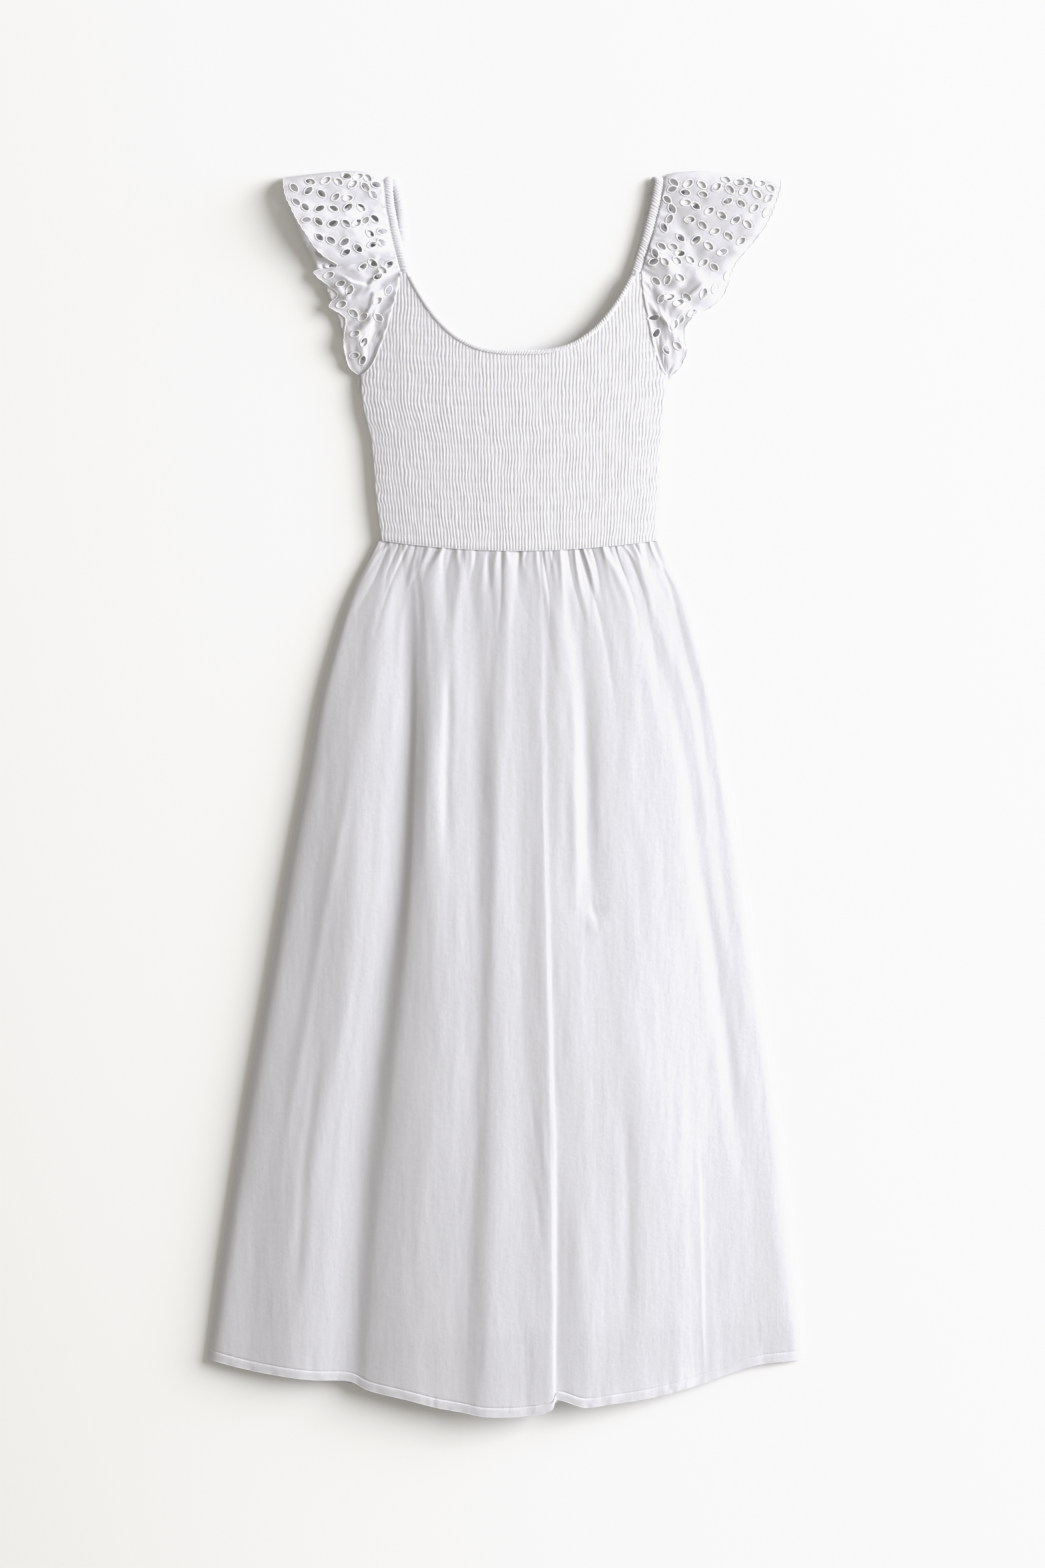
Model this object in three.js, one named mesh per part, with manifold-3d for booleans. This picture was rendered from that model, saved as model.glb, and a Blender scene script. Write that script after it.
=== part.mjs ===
// A smocked midi dress laid flat on its back, front upwards, as a three.js scene graph in millimetres.
// X runs across the dress, Y from the hem towards the shoulders and Z up from the surface it lies on.
// The origin is the middle of the space it covers, on that surface.
// The back panels lie flat on the surface. A slip lining lies on the back skirt, the gathered front skirt
// stands over both in long folds, and the shirred front bodice lies over the back bodice.
// Elastic straps fold over at the shoulders, with a flutter sleeve of eyelet cloth along each.

import * as THREE from "three";
import { mergeVertices } from "three/addons/utils/BufferGeometryUtils.js";
import Module from "manifold-3d";

const wasm = await Module();
wasm.setup();

const seam = 0.3; // the gap that pieces keep where they are sewn together
const cloth = 1.2; // the wall of a single layer

const cotton = { color: 0xeeeef3, roughness: 0.88, metalness: 0 };
const eyeletCotton = { color: 0xf1f1f5, roughness: 0.85, metalness: 0 };
const slipCotton = { color: 0xe9e9ec, roughness: 0.9, metalness: 0 };

// Numbers along a run

const mix = (a, b, t) => a + (b - a) * t;
const clamp = (t, low, high) => Math.min(high, Math.max(low, t));
const ease = (t) => t * t * (3 - 2 * t);
const quarters = [0.25, 0.5, 0.75];

// A smooth line through values at rising stations, which never overshoots between two of them.
function along(stations, values, t) {
  const last = stations.length - 1;
  const at = clamp(t, stations[0], stations[last]);
  let i = 0;
  while (i < last - 1 && at > stations[i + 1]) i += 1;
  const rise = (k) => (values[k + 1] - values[k]) / (stations[k + 1] - stations[k]);
  const slope = (k) => {
    if (k === 0) return rise(0);
    if (k === last) return rise(last - 1);
    const before = rise(k - 1);
    const after = rise(k);
    return before * after <= 0 ? 0 : (2 * before * after) / (before + after);
  };
  const width = stations[i + 1] - stations[i];
  const s = (at - stations[i]) / width;
  const start = values[i] + s * width * slope(i);
  const end = values[i + 1] - (1 - s) * width * slope(i + 1);
  return mix(start, end, ease(s));
}

// Closed walls

// A geometry from points and triangles, with its faces turned outwards.
function closedBody(points, triangles) {
  let volume = 0;
  for (const [a, b, c] of triangles) {
    volume += points[a].dot(new THREE.Vector3().crossVectors(points[b], points[c]));
  }
  const outward = volume > 0 ? triangles : triangles.map(([a, b, c]) => [a, c, b]);
  const geometry = new THREE.BufferGeometry().setFromPoints(points);
  geometry.setIndex(outward.flat());
  return geometry;
}

// The wall between an outer and an inner sheet, each a list of rows of points. The inner sheet may be
// plainer: it has the same rows, and one point for every step of the outer sheet's points.
function wallBetween(outer, inner, step = 1) {
  const rows = outer.length;
  const fine = outer[0].length;
  const plain = inner[0].length;
  const points = [...outer.flat(), ...inner.flat()];
  const out = (r, c) => r * fine + c;
  const into = (r, c) => rows * fine + r * plain + c;
  const triangles = [];
  for (let r = 0; r + 1 < rows; r += 1) {
    for (let c = 0; c + 1 < fine; c += 1) {
      triangles.push([out(r, c), out(r + 1, c), out(r + 1, c + 1)]);
      triangles.push([out(r, c), out(r + 1, c + 1), out(r, c + 1)]);
    }
    for (let c = 0; c + 1 < plain; c += 1) {
      triangles.push([into(r, c), into(r + 1, c + 1), into(r + 1, c)]);
      triangles.push([into(r, c), into(r, c + 1), into(r + 1, c + 1)]);
    }
    for (const [o, i, flip] of [[0, 0, false], [fine - 1, plain - 1, true]]) {
      const first = [out(r, o), into(r, i), into(r + 1, i)];
      const second = [out(r, o), into(r + 1, i), out(r + 1, o)];
      triangles.push(flip ? first.reverse() : first);
      triangles.push(flip ? second.reverse() : second);
    }
  }
  for (const [r, flip] of [[0, true], [rows - 1, false]]) {
    for (let c = 0; c + 1 < plain; c += 1) {
      const fan = [];
      for (let k = 0; k < step; k += 1) {
        fan.push([into(r, c), out(r, c * step + k + 1), out(r, c * step + k)]);
      }
      fan.push([into(r, c), into(r, c + 1), out(r, (c + 1) * step)]);
      triangles.push(...(flip ? fan.map((t) => t.reverse()) : fan));
    }
  }
  return closedBody(points, triangles);
}

// A closed tube through rings that have the same number of points, with a flat cap at both ends.
function tubeThrough(rings) {
  const sides = rings[0].length;
  const points = rings.flat();
  const triangles = [];
  for (let r = 0; r + 1 < rings.length; r += 1) {
    for (let s = 0; s < sides; s += 1) {
      const here = r * sides + s;
      const next = r * sides + ((s + 1) % sides);
      triangles.push([here, next, next + sides], [here, next + sides, here + sides]);
    }
  }
  const end = (rings.length - 1) * sides;
  for (let s = 1; s + 1 < sides; s += 1) {
    triangles.push([0, s + 1, s], [end, end + s, end + s + 1]);
  }
  return closedBody(points, triangles);
}

// A flat panel of cloth with its outline and holes in the plane, between two heights.
function flatPanel(outline, low, high, holes = []) {
  const shape = new THREE.Shape(outline);
  shape.holes = holes.map((points) => new THREE.Path(points));
  const geometry = new THREE.ExtrudeGeometry(shape, { depth: high - low, bevelEnabled: false });
  return geometry.translate(0, 0, low);
}

function solidOf(geometry) {
  const bare = geometry.index ? geometry.toNonIndexed() : geometry.clone();
  bare.deleteAttribute("normal");
  bare.deleteAttribute("uv");
  const merged = mergeVertices(bare, 1e-4);
  return new wasm.Manifold(new wasm.Mesh({
    numProp: 3,
    vertProperties: merged.attributes.position.array,
    triVerts: new Uint32Array(merged.index.array),
  }));
}

function geometryOf(solid) {
  const mesh = solid.getMesh();
  const geometry = new THREE.BufferGeometry();
  geometry.setAttribute("position", new THREE.BufferAttribute(mesh.vertProperties, 3));
  geometry.setIndex(new THREE.BufferAttribute(mesh.triVerts, 1));
  return geometry;
}

// The waist, where the skirt's gathers meet the shirred bodice

const waist = { right: 154, middle: 12, lowest: 245.5, rise: 11 };
const waistY = (x) => waist.lowest + waist.rise * ((x - waist.middle) / (waist.right - waist.middle)) ** 2;

// The front skirt: long folds that fan out from the waist to the hem

// How far down the skirt each of a fold's six sizes is given, from 0 at the waist to 1 at the hem.
const skirtStations = [0, 0.12, 0.3, 0.55, 0.8, 1];

// One row for each line that runs down the skirt: x and the outer face's height at the stations, and
// the y of its hem.
const skirtLines = [
  {
    name: "left side", hem: -577,
    x: [-130, -172, -205, -243, -280, -304.6],
    z: [2.8, 2.8, 2.8, 2.8, 2.8, 2.8],
  },
  {
    name: "left roll", hem: -579,
    x: [-127, -168, -200, -237, -273, -298],
    z: [5, 7.4, 8.2, 8.6, 8.4, 7.2],
  },
  {
    name: "left slope", hem: -588,
    x: [-122, -150, -180, -207, -247, -262],
    z: [5.8, 9.8, 12, 12.8, 12, 10.6],
  },
  {
    name: "first crest", hem: -596,
    x: [-116, -127, -150, -166, -205, -215],
    z: [6.4, 11.2, 14.8, 17.2, 16.2, 14],
  },
  {
    name: "first fall", hem: -598,
    x: [-111, -113, -129, -150, -183, -196],
    z: [6.1, 10.2, 13.4, 16.4, 15.4, 13],
  },
  {
    name: "first valley", hem: -600,
    x: [-104, -98, -102, -123, -148, -158],
    z: [6, 9.2, 11.2, 14, 13.2, 10.9],
  },
  {
    name: "second edge", hem: -608,
    x: [-97, -90, -93, -106, -129, -141],
    z: [7.2, 11, 15.2, 19.2, 17.4, 14],
  },
  {
    name: "second crest", hem: -618,
    x: [-88, -77, -77, -76, -90, -99],
    z: [8.2, 13, 18.2, 22.2, 20.8, 17.6],
  },
  {
    name: "second fall", hem: -625,
    x: [-62, -52, -52, -54, -64, -72],
    z: [8, 12.6, 17.4, 22.2, 21.4, 18.6],
  },
  {
    name: "second valley", hem: -630,
    x: [-36, -28, -27, -29, -38, -44],
    z: [8.2, 11.8, 16.6, 21.6, 21.6, 19.4],
  },
  {
    name: "third edge", hem: -634,
    x: [-9, -8, -11, -13, -18, -23],
    z: [9.6, 13.8, 18.6, 23.4, 23.4, 21.4],
  },
  {
    name: "third dip", hem: -633.5,
    x: [12, 14, 14, 17, 20, 19],
    z: [9, 12.8, 17.2, 22, 21.8, 19.8],
  },
  {
    name: "middle edge", hem: -628,
    x: [31, 35, 38, 43, 47, 46],
    z: [9.4, 13.4, 17.8, 22.4, 22, 19.8],
  },
  {
    name: "third valley", hem: -618,
    x: [36, 40, 43, 48, 52, 51],
    z: [8.6, 12.4, 16.6, 20.8, 20.2, 17.8],
  },
  {
    name: "fourth crest", hem: -625,
    x: [48, 52, 56, 68, 76, 80],
    z: [9, 12.8, 17, 21.4, 21.2, 18.8],
  },
  {
    name: "fourth valley", hem: -622,
    x: [68, 74, 78, 96, 104, 106],
    z: [7.8, 11.4, 15.4, 19.6, 19, 16.8],
  },
  {
    name: "broad crest", hem: -615,
    x: [86, 96, 104, 132, 148, 151],
    z: [8, 11.6, 15.2, 17.6, 16.6, 14.4],
  },
  {
    name: "right fold", hem: -601,
    x: [120, 152, 184, 200, 205, 203],
    z: [6.6, 8, 9.4, 10.8, 11, 9.8],
  },
  {
    name: "right slope", hem: -584,
    x: [139, 174, 206, 230, 247, 254],
    z: [5.2, 6, 6.4, 7.4, 7.6, 6.6],
  },
  {
    name: "right roll", hem: -578.5,
    x: [151, 191, 220, 252, 280, 298],
    z: [4.6, 5, 5.2, 5.4, 5.2, 4.9],
  },
  {
    name: "right side", hem: -577,
    x: [154, 195, 225, 258, 287, 304.6],
    z: [2.8, 2.8, 2.8, 2.8, 2.8, 2.8],
  },
];

// The points that one cross-section of the front skirt passes through, at a share of its length.
function skirtKnots(share) {
  const value = (values) => along(skirtStations, values, share);
  return skirtLines.map((line) => {
    const x = value(line.x);
    return new THREE.Vector3(x, mix(waistY(x), line.hem, share), value(line.z));
  });
}

const gathers = { count: 26, height: 1.1, reach: 0.05 };
const skirtRows = [0, 0.015, 0.04, 0.09, 0.17, 0.29, 0.43, 0.58, 0.73, 0.87, 0.99, 1];
const pointsPerKnot = 4;
const plainSkirt = 2; // the inner face has every second point of the outer one
const hem = { turnedUp: 0.0105, extra: 0.5 }; // the doubled cloth of the hem, as a share of the length

function frontSkirt() {
  const outer = [];
  const inner = [];
  for (const share of skirtRows) {
    const curve = new THREE.CatmullRomCurve3(skirtKnots(share), false, "centripetal");
    const steps = (skirtKnots(share).length - 1) * pointsPerKnot;
    const section = Array.from({ length: steps + 1 }, (_, i) => curve.getPoint(i / steps));
    const fade = Math.exp(-share / gathers.reach) * gathers.height;
    const thick = cloth + (share > 1 - hem.turnedUp * 1.01 ? hem.extra : 0);
    const faces = section.map((point, i) => {
      const before = section[Math.max(0, i - 1)];
      const after = section[Math.min(steps, i + 1)];
      const normal = new THREE.Vector3(before.z - after.z, 0, after.x - before.x).normalize();
      const across = (point.x - section[0].x) / (section[steps].x - section[0].x);
      const inside = Math.min(1, i / 4, (steps - i) / 4);
      const turns = gathers.count * across + 0.27 * Math.sin(9 * across);
      const pucker = fade * inside * Math.sin(2 * Math.PI * turns);
      const face = point.clone().add(new THREE.Vector3(0, 0, Math.max(0, normal.z) * pucker));
      return { face, lining: face.clone().addScaledVector(normal, -thick) };
    });
    outer.push(faces.map(({ face }) => face));
    inner.push(faces.filter((_, i) => i % plainSkirt === 0).map(({ lining }) => lining));
  }
  for (const sheet of [outer, inner]) sheet[0].forEach((point) => { point.y -= seam / 2; });
  return wallBetween(outer, inner, plainSkirt);
}

// The back skirt and the slip lining, which lie flat under it

// One side of the skirt, from the waist to the hem, moved in towards the middle.
function skirtSide(line, inwards, count = 12) {
  return Array.from({ length: count + 1 }, (_, i) => {
    const share = i / count;
    const x = along(skirtStations, line.x, share) + inwards;
    return new THREE.Vector2(x, mix(waistY(x) - seam / 2, line.hem, share));
  });
}

const backHem = { lift: 6, sag: 46 }; // the back hem lies a little above the front one, and curves down

function backSkirt() {
  const left = skirtSide(skirtLines[0], 0.6);
  const right = skirtSide(skirtLines.at(-1), -0.6);
  const from = left.at(-1);
  const to = right.at(-1);
  const steps = 16;
  const hemLine = Array.from({ length: steps - 1 }, (_, i) => {
    const t = (i + 1) / steps;
    const sag = backHem.sag * Math.sin(Math.PI * t);
    return new THREE.Vector2(mix(from.x, to.x, t), mix(from.y, to.y, t) - sag);
  });
  const waistLine = quarters.map((t) => {
    const x = mix(right[0].x, left[0].x, t);
    return new THREE.Vector2(x, waistY(x) - seam / 2);
  });
  const outline = [...left, ...hemLine, ...right.reverse(), ...waistLine];
  outline.forEach((point, i) => {
    if (i >= left.length - 1 && point.y < from.y + 1) point.y += backHem.lift;
  });
  return flatPanel(outline, 0, cloth);
}

const slip = {
  top: 238, waistLeft: -118, waistRight: 142, hemLeft: -222, hemRight: 206, hemY: -545, sag: 12,
};
const slipLow = cloth + seam;
const slipHigh = slipLow + 1;

function slipLining() {
  const steps = 10;
  const outline = [new THREE.Vector2(slip.waistRight, slip.top), new THREE.Vector2(slip.waistLeft, slip.top)];
  for (let i = 0; i <= steps; i += 1) {
    const t = i / steps;
    const dip = slip.sag * Math.sin(Math.PI * t);
    outline.push(new THREE.Vector2(mix(slip.hemLeft, slip.hemRight, t), slip.hemY - dip));
  }
  return flatPanel(outline, slipLow, slipHigh);
}

// The bodice: its outline, and the shirring that raises it in ribs

const bodiceStations = [0, 45, 100, 145, 172]; // above the waist's ends
const bodiceSides = { left: [-126.5, -132.5, -137, -146.5, -148], right: [151.6, 154.5, 157, 161, 163] };
const waistEnd = waist.lowest + waist.rise;
const bodiceLeft = (y) => along(bodiceStations, bodiceSides.left, y - waistEnd);
const bodiceRight = (y) => along(bodiceStations, bodiceSides.right, y - waistEnd);

const neck = { middle: 15, halfWidth: 112, lowest: 449.5, depth: 78, power: 2.9 };
const neckY = (x) => neck.lowest + neck.depth * Math.abs((x - neck.middle) / neck.halfWidth) ** neck.power;
const neckBand = { width: 7, thick: 2.6, edge: 0.15, fit: 0.97 }; // it draws in the curve a little
const underarmY = 426;
const strapBase = { y: 529.5, leftOuter: -107.5, leftInner: -97, rightInner: 126.5, rightOuter: 136.5 };
const armholePower = 1.7;

// The upper edge of the bodice at each x: armhole, strap base, neckline less its band, and back down.
function bodiceTop(x, bandWidth) {
  const rise = strapBase.y - underarmY;
  const outside = (edge, side) => (
    underarmY + rise * clamp((x - side) / (edge - side), 0, 1) ** armholePower
  );
  if (x < strapBase.leftOuter) return outside(strapBase.leftOuter, bodiceSides.left.at(-1));
  if (x > strapBase.rightOuter) return outside(strapBase.rightOuter, bodiceSides.right.at(-1));
  const slope = neckY(x + 0.5) - neckY(x - 0.5);
  return Math.min(strapBase.y, neckY(x) - bandWidth * Math.hypot(1, slope) * neckBand.fit);
}

const shirring = { ribs: 88, height: 1.4, wall: 1.2, middle: 12.4, dome: 4.4, sideRoll: 3.6 };
const ribPoints = 2;
const plainEvery = 4;
const bodiceRows = 6;

// The height of the bodice under its ribs: a low dome, which falls to the sides where it turns to the back.
function bodiceHeight(x, y) {
  const [left, right] = [bodiceLeft(y), bodiceRight(y)];
  const fromMiddle = clamp((2 * x - left - right) / (right - left), -1, 1);
  return shirring.middle - shirring.dome * fromMiddle ** 2 - shirring.sideRoll * fromMiddle ** 10;
}

function frontBodice() {
  const columns = shirring.ribs * ribPoints;
  const outer = [];
  const inner = [];
  for (let r = 0; r <= bodiceRows; r += 1) {
    const fineRow = [];
    const plainRow = [];
    for (let c = 0; c <= columns; c += 1) {
      const across = c / columns;
      const topX = mix(bodiceSides.left.at(-1), bodiceSides.right.at(-1), across);
      const top = bodiceTop(topX, neckBand.width + seam) - seam / 2;
      const lowX = mix(bodiceSides.left[0], bodiceSides.right[0], across);
      const y = mix(waistY(lowX) + seam / 2, top, r / bodiceRows);
      const x = mix(bodiceLeft(y), bodiceRight(y), across);
      const raised = c % ribPoints === 1 ? shirring.height : 0;
      fineRow.push(new THREE.Vector3(x, y, bodiceHeight(x, y) + raised));
      if (c % plainEvery === 0) plainRow.push(new THREE.Vector3(x, y, bodiceHeight(x, y) - shirring.wall));
    }
    outer.push(fineRow);
    inner.push(plainRow);
  }
  return wallBetween(outer, inner, plainEvery);
}

const bodiceBackThick = 2.6;
const backInset = 0.4; // the back panel's sides lie inside the front one's

function backBodice() {
  const outline = [];
  const steps = 60;
  for (let i = 0; i <= 4; i += 1) {
    const x = mix(bodiceSides.left[0], bodiceSides.right[0], i / 4);
    outline.push(new THREE.Vector2(x, waistY(x) + seam / 2));
  }
  const heights = bodiceStations.slice(1, -1).map((up) => waistEnd + up);
  for (const y of heights) outline.push(new THREE.Vector2(bodiceRight(y) - backInset, y));
  for (let i = steps; i >= 0; i -= 1) {
    const x = mix(bodiceSides.left.at(-1) + backInset, bodiceSides.right.at(-1) - backInset, i / steps);
    outline.push(new THREE.Vector2(x, bodiceTop(x, neckBand.width + seam) - seam / 2));
  }
  for (const y of heights.reverse()) outline.push(new THREE.Vector2(bodiceLeft(y) + backInset, y));
  return flatPanel(outline, 0, bodiceBackThick);
}

// The gathered bands: the neckline's, front and back, and the straps

// An oval ring of eight points across a band, from its two half axes.
function bandRing(centre, sideways, upwards) {
  return Array.from({ length: 8 }, (_, i) => {
    const turn = (2 * Math.PI * (i + 0.5)) / 8;
    const squared = 1 / Math.max(Math.abs(Math.cos(turn)), Math.abs(Math.sin(turn))) ** 0.35;
    return centre.clone()
      .addScaledVector(sideways, Math.cos(turn) * squared)
      .addScaledVector(upwards, Math.sin(turn) * squared);
  });
}

// The neckline's outer edge from the left strap to the right one, at even steps of length.
function neckLine(count) {
  const raw = Array.from({ length: 201 }, (_, i) => {
    const x = mix(strapBase.leftInner + 0.6, strapBase.rightInner + 0.4, i / 200);
    return new THREE.Vector3(x, neckY(x), 0);
  });
  return new THREE.CatmullRomCurve3(raw).getSpacedPoints(count);
}

function neckBandSolid(rings, centreZ, thick, puckers) {
  const line = neckLine(rings);
  const sections = line.map((point, i) => {
    const before = line[Math.max(0, i - 1)];
    const after = line[Math.min(rings, i + 1)];
    const inward = new THREE.Vector3(after.y - before.y, before.x - after.x, 0).normalize();
    const centre = point.clone().addScaledVector(inward, neckBand.width / 2);
    centre.z = centreZ(centre);
    const swell = 1 - puckers * (i % 2);
    const halfWidth = (neckBand.width / 2 - neckBand.edge) * mix(swell, 1, 0.5);
    return bandRing(centre, inward.multiplyScalar(halfWidth), new THREE.Vector3(0, 0, (thick / 2) * swell));
  });
  return tubeThrough(sections);
}

// The straps: a row for each height, with how far the middle line of the front run and of the back run
// lie from the middle of the dress. Both runs meet the bodice at the foot and fold over at the top.
const strapSize = { width: 10, thick: 3, frontZ: 7.4, backZ: 1.6, foldY: 628, gathers: 17 };
const strapRuns = {
  left: [
    { y: 530, front: -102.2, back: -102.2 },
    { y: 545, front: -106.5, back: -104.2 },
    { y: 563, front: -111.5, back: -105.5 },
    { y: 584, front: -116, back: -107 },
    { y: 605, front: -119.4, back: -109.5 },
    { y: 622, front: -120.5, back: -114 },
  ],
  right: [
    { y: 530, front: 131.8, back: 131.8 },
    { y: 545, front: 136.5, back: 135 },
    { y: 563, front: 142, back: 140 },
    { y: 584, front: 147.5, back: 144 },
    { y: 605, front: 152.5, back: 147.5 },
    { y: 622, front: 155.4, back: 151 },
  ],
};

// A strap's x at a height on its front or its back run.
function strapX(side, run, y) {
  const rows = strapRuns[side];
  return along(rows.map((row) => row.y), rows.map((row) => row[run]), y);
}

// The rings along one run of a strap, drawn in at every other ring by its elastic.
function strapRun(side, run, count, height, draw) {
  const rows = strapRuns[side];
  const [low, high] = [rows[0].y, rows.at(-1).y];
  return Array.from({ length: count + 1 }, (_, i) => {
    const y = mix(low, high, i / count);
    const lean = (strapX(side, run, y + 1) - strapX(side, run, y - 1)) / 2;
    const sideways = new THREE.Vector3(1, -lean, 0).normalize();
    const swell = 1 - draw * (i % 2);
    return {
      centre: new THREE.Vector3(strapX(side, run, y), y, height),
      sideways: sideways.multiplyScalar((strapSize.width / 2 - 0.3) * mix(1, swell, 0.6)),
      upwards: new THREE.Vector3(0, 0, (strapSize.thick / 2 - 0.1) * swell),
    };
  });
}

function strap(side) {
  const front = strapRun(side, "front", strapSize.gathers * 2, strapSize.frontZ, 0.17);
  const back = strapRun(side, "back", 8, strapSize.backZ, 0.06).reverse();
  back.forEach((ring) => ring.upwards.negate()); // the back run is turned over at the shoulder
  const top = front.at(-1).centre;
  const under = back[0].centre;
  const reach = strapSize.foldY - strapSize.thick / 2 - top.y;
  const fold = quarters.map((share) => {
    const angle = Math.PI * share;
    const centre = top.clone().lerp(under, (1 - Math.cos(angle)) / 2);
    centre.y += reach * Math.sin(angle);
    return {
      centre,
      sideways: new THREE.Vector3(strapSize.width / 2 - 0.3, 0, 0),
      upwards: new THREE.Vector3(0, Math.sin(angle), Math.cos(angle))
        .multiplyScalar(strapSize.thick / 2 - 0.1),
    };
  });
  const rings = [...front, ...fold, ...back];
  return tubeThrough(rings.map((ring) => bandRing(ring.centre, ring.sideways, ring.upwards)));
}

// The flutter sleeves: eyelet cloth gathered along the strap and the armhole

// One row for each line from the seam out to the free edge, from the shoulder fold down to the underarm:
// the seam's y, the free edge's place, and the outer face's height at the seam, half way and at the edge.
const flutterRows = {
  left: [
    { seamY: 627.5, edgeX: -228, edgeY: 626.5, seamZ: 2.4, midZ: 2.4, edgeZ: 2.4 },
    { seamY: 623, edgeX: -227.8, edgeY: 621, seamZ: 6, midZ: 8.5, edgeZ: 9 },
    { seamY: 612, edgeX: -226, edgeY: 609, seamZ: 7.6, midZ: 12, edgeZ: 13 },
    { seamY: 601, edgeX: -220.5, edgeY: 596, seamZ: 7, midZ: 11, edgeZ: 14.5 },
    { seamY: 589, edgeX: -212.5, edgeY: 580, seamZ: 7.6, midZ: 13, edgeZ: 15.5 },
    { seamY: 578, edgeX: -202.5, edgeY: 565, seamZ: 7, midZ: 12, edgeZ: 16 },
    { seamY: 567, edgeX: -191, edgeY: 549, seamZ: 7.6, midZ: 14, edgeZ: 16.5 },
    { seamY: 557, edgeX: -180, edgeY: 541, seamZ: 8, midZ: 14.5, edgeZ: 15.5 },
    { seamY: 549, edgeX: -173, edgeY: 536, seamZ: 7, midZ: 8.5, edgeZ: 9 },
    { seamY: 541, edgeX: -197, edgeY: 530, seamZ: 7, midZ: 8, edgeZ: 7.5 },
    { seamY: 533, edgeX: -181, edgeY: 515, seamZ: 8, midZ: 11.5, edgeZ: 10 },
    { seamY: 525, edgeX: -172.5, edgeY: 506, seamZ: 7.4, midZ: 7.4, edgeZ: 6.6 },
    { seamY: 515, edgeX: -181, edgeY: 495, seamZ: 8, midZ: 11, edgeZ: 9.5 },
    { seamY: 503, edgeX: -164, edgeY: 481, seamZ: 7.4, midZ: 7.4, edgeZ: 6.4 },
    { seamY: 489, edgeX: -166, edgeY: 461, seamZ: 8, midZ: 10.5, edgeZ: 8.4 },
    { seamY: 473, edgeX: -164, edgeY: 444, seamZ: 7.4, midZ: 8.4, edgeZ: 6.4 },
    { seamY: 453, edgeX: -157, edgeY: 429.5, seamZ: 6.6, midZ: 7, edgeZ: 5.4 },
    { seamY: 438, edgeX: -153.5, edgeY: 427, seamZ: 6, midZ: 6, edgeZ: 5 },
    { seamY: 426.5, edgeX: -151, edgeY: 425.5, seamZ: 5.6, midZ: 5.2, edgeZ: 4.8 },
  ],
  right: [
    { seamY: 627.5, edgeX: 280, edgeY: 626, seamZ: 2.4, midZ: 2.4, edgeZ: 2.4 },
    { seamY: 623, edgeX: 280.5, edgeY: 620, seamZ: 6, midZ: 8.5, edgeZ: 8.5 },
    { seamY: 612, edgeX: 278, edgeY: 609, seamZ: 7.4, midZ: 12, edgeZ: 12 },
    { seamY: 601, edgeX: 274, edgeY: 597, seamZ: 7, midZ: 11, edgeZ: 13 },
    { seamY: 589, edgeX: 268, edgeY: 583, seamZ: 7.6, midZ: 12.5, edgeZ: 13.5 },
    { seamY: 578, edgeX: 257, edgeY: 566, seamZ: 7, midZ: 10.5, edgeZ: 13 },
    { seamY: 567, edgeX: 243, edgeY: 549, seamZ: 7.6, midZ: 13, edgeZ: 12.5 },
    { seamY: 557, edgeX: 232, edgeY: 534, seamZ: 7, midZ: 9.5, edgeZ: 11.5 },
    { seamY: 549, edgeX: 226, edgeY: 516, seamZ: 7.6, midZ: 10, edgeZ: 11 },
    { seamY: 541, edgeX: 214, edgeY: 498, seamZ: 8, midZ: 12.5, edgeZ: 10 },
    { seamY: 533, edgeX: 200, edgeY: 489, seamZ: 7.4, midZ: 8, edgeZ: 7 },
    { seamY: 525, edgeX: 188, edgeY: 481, seamZ: 8, midZ: 12, edgeZ: 9 },
    { seamY: 515, edgeX: 181.5, edgeY: 465, seamZ: 7.4, midZ: 7.8, edgeZ: 7 },
    { seamY: 503, edgeX: 183.5, edgeY: 450, seamZ: 8, midZ: 11, edgeZ: 9 },
    { seamY: 489, edgeX: 180.5, edgeY: 439, seamZ: 7.4, midZ: 8.6, edgeZ: 7.4 },
    { seamY: 473, edgeX: 174, edgeY: 429, seamZ: 7.4, midZ: 9, edgeZ: 6.6 },
    { seamY: 453, edgeX: 168, edgeY: 424, seamZ: 6.6, midZ: 7, edgeZ: 5.6 },
    { seamY: 438, edgeX: 166.8, edgeY: 421, seamZ: 6, midZ: 6, edgeZ: 5 },
    { seamY: 426.5, edgeX: 165.6, edgeY: 419, seamZ: 5.6, midZ: 5.2, edgeZ: 4.8 },
  ],
};

// The x of the seam that a sleeve hangs from: the strap's outer edge, then the armhole.
function sleeveSeamX(side, y) {
  const out = side === "left" ? -1 : 1;
  const edge = side === "left" ? strapBase.leftOuter : strapBase.rightOuter;
  const corner = bodiceSides[side].at(-1);
  if (y > strapBase.y) return strapX(side, "front", y) + out * (strapSize.width / 2 + seam);
  const share = clamp((y - underarmY) / (strapBase.y - underarmY), 0, 1) ** (1 / armholePower);
  return mix(corner, edge, share) + out * seam * 4;
}

// The cloth stands up a little over the shoulder fold.
const shoulderBow = { rise: 6.5, reach: 0.05, lean: 0.6 };

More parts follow.
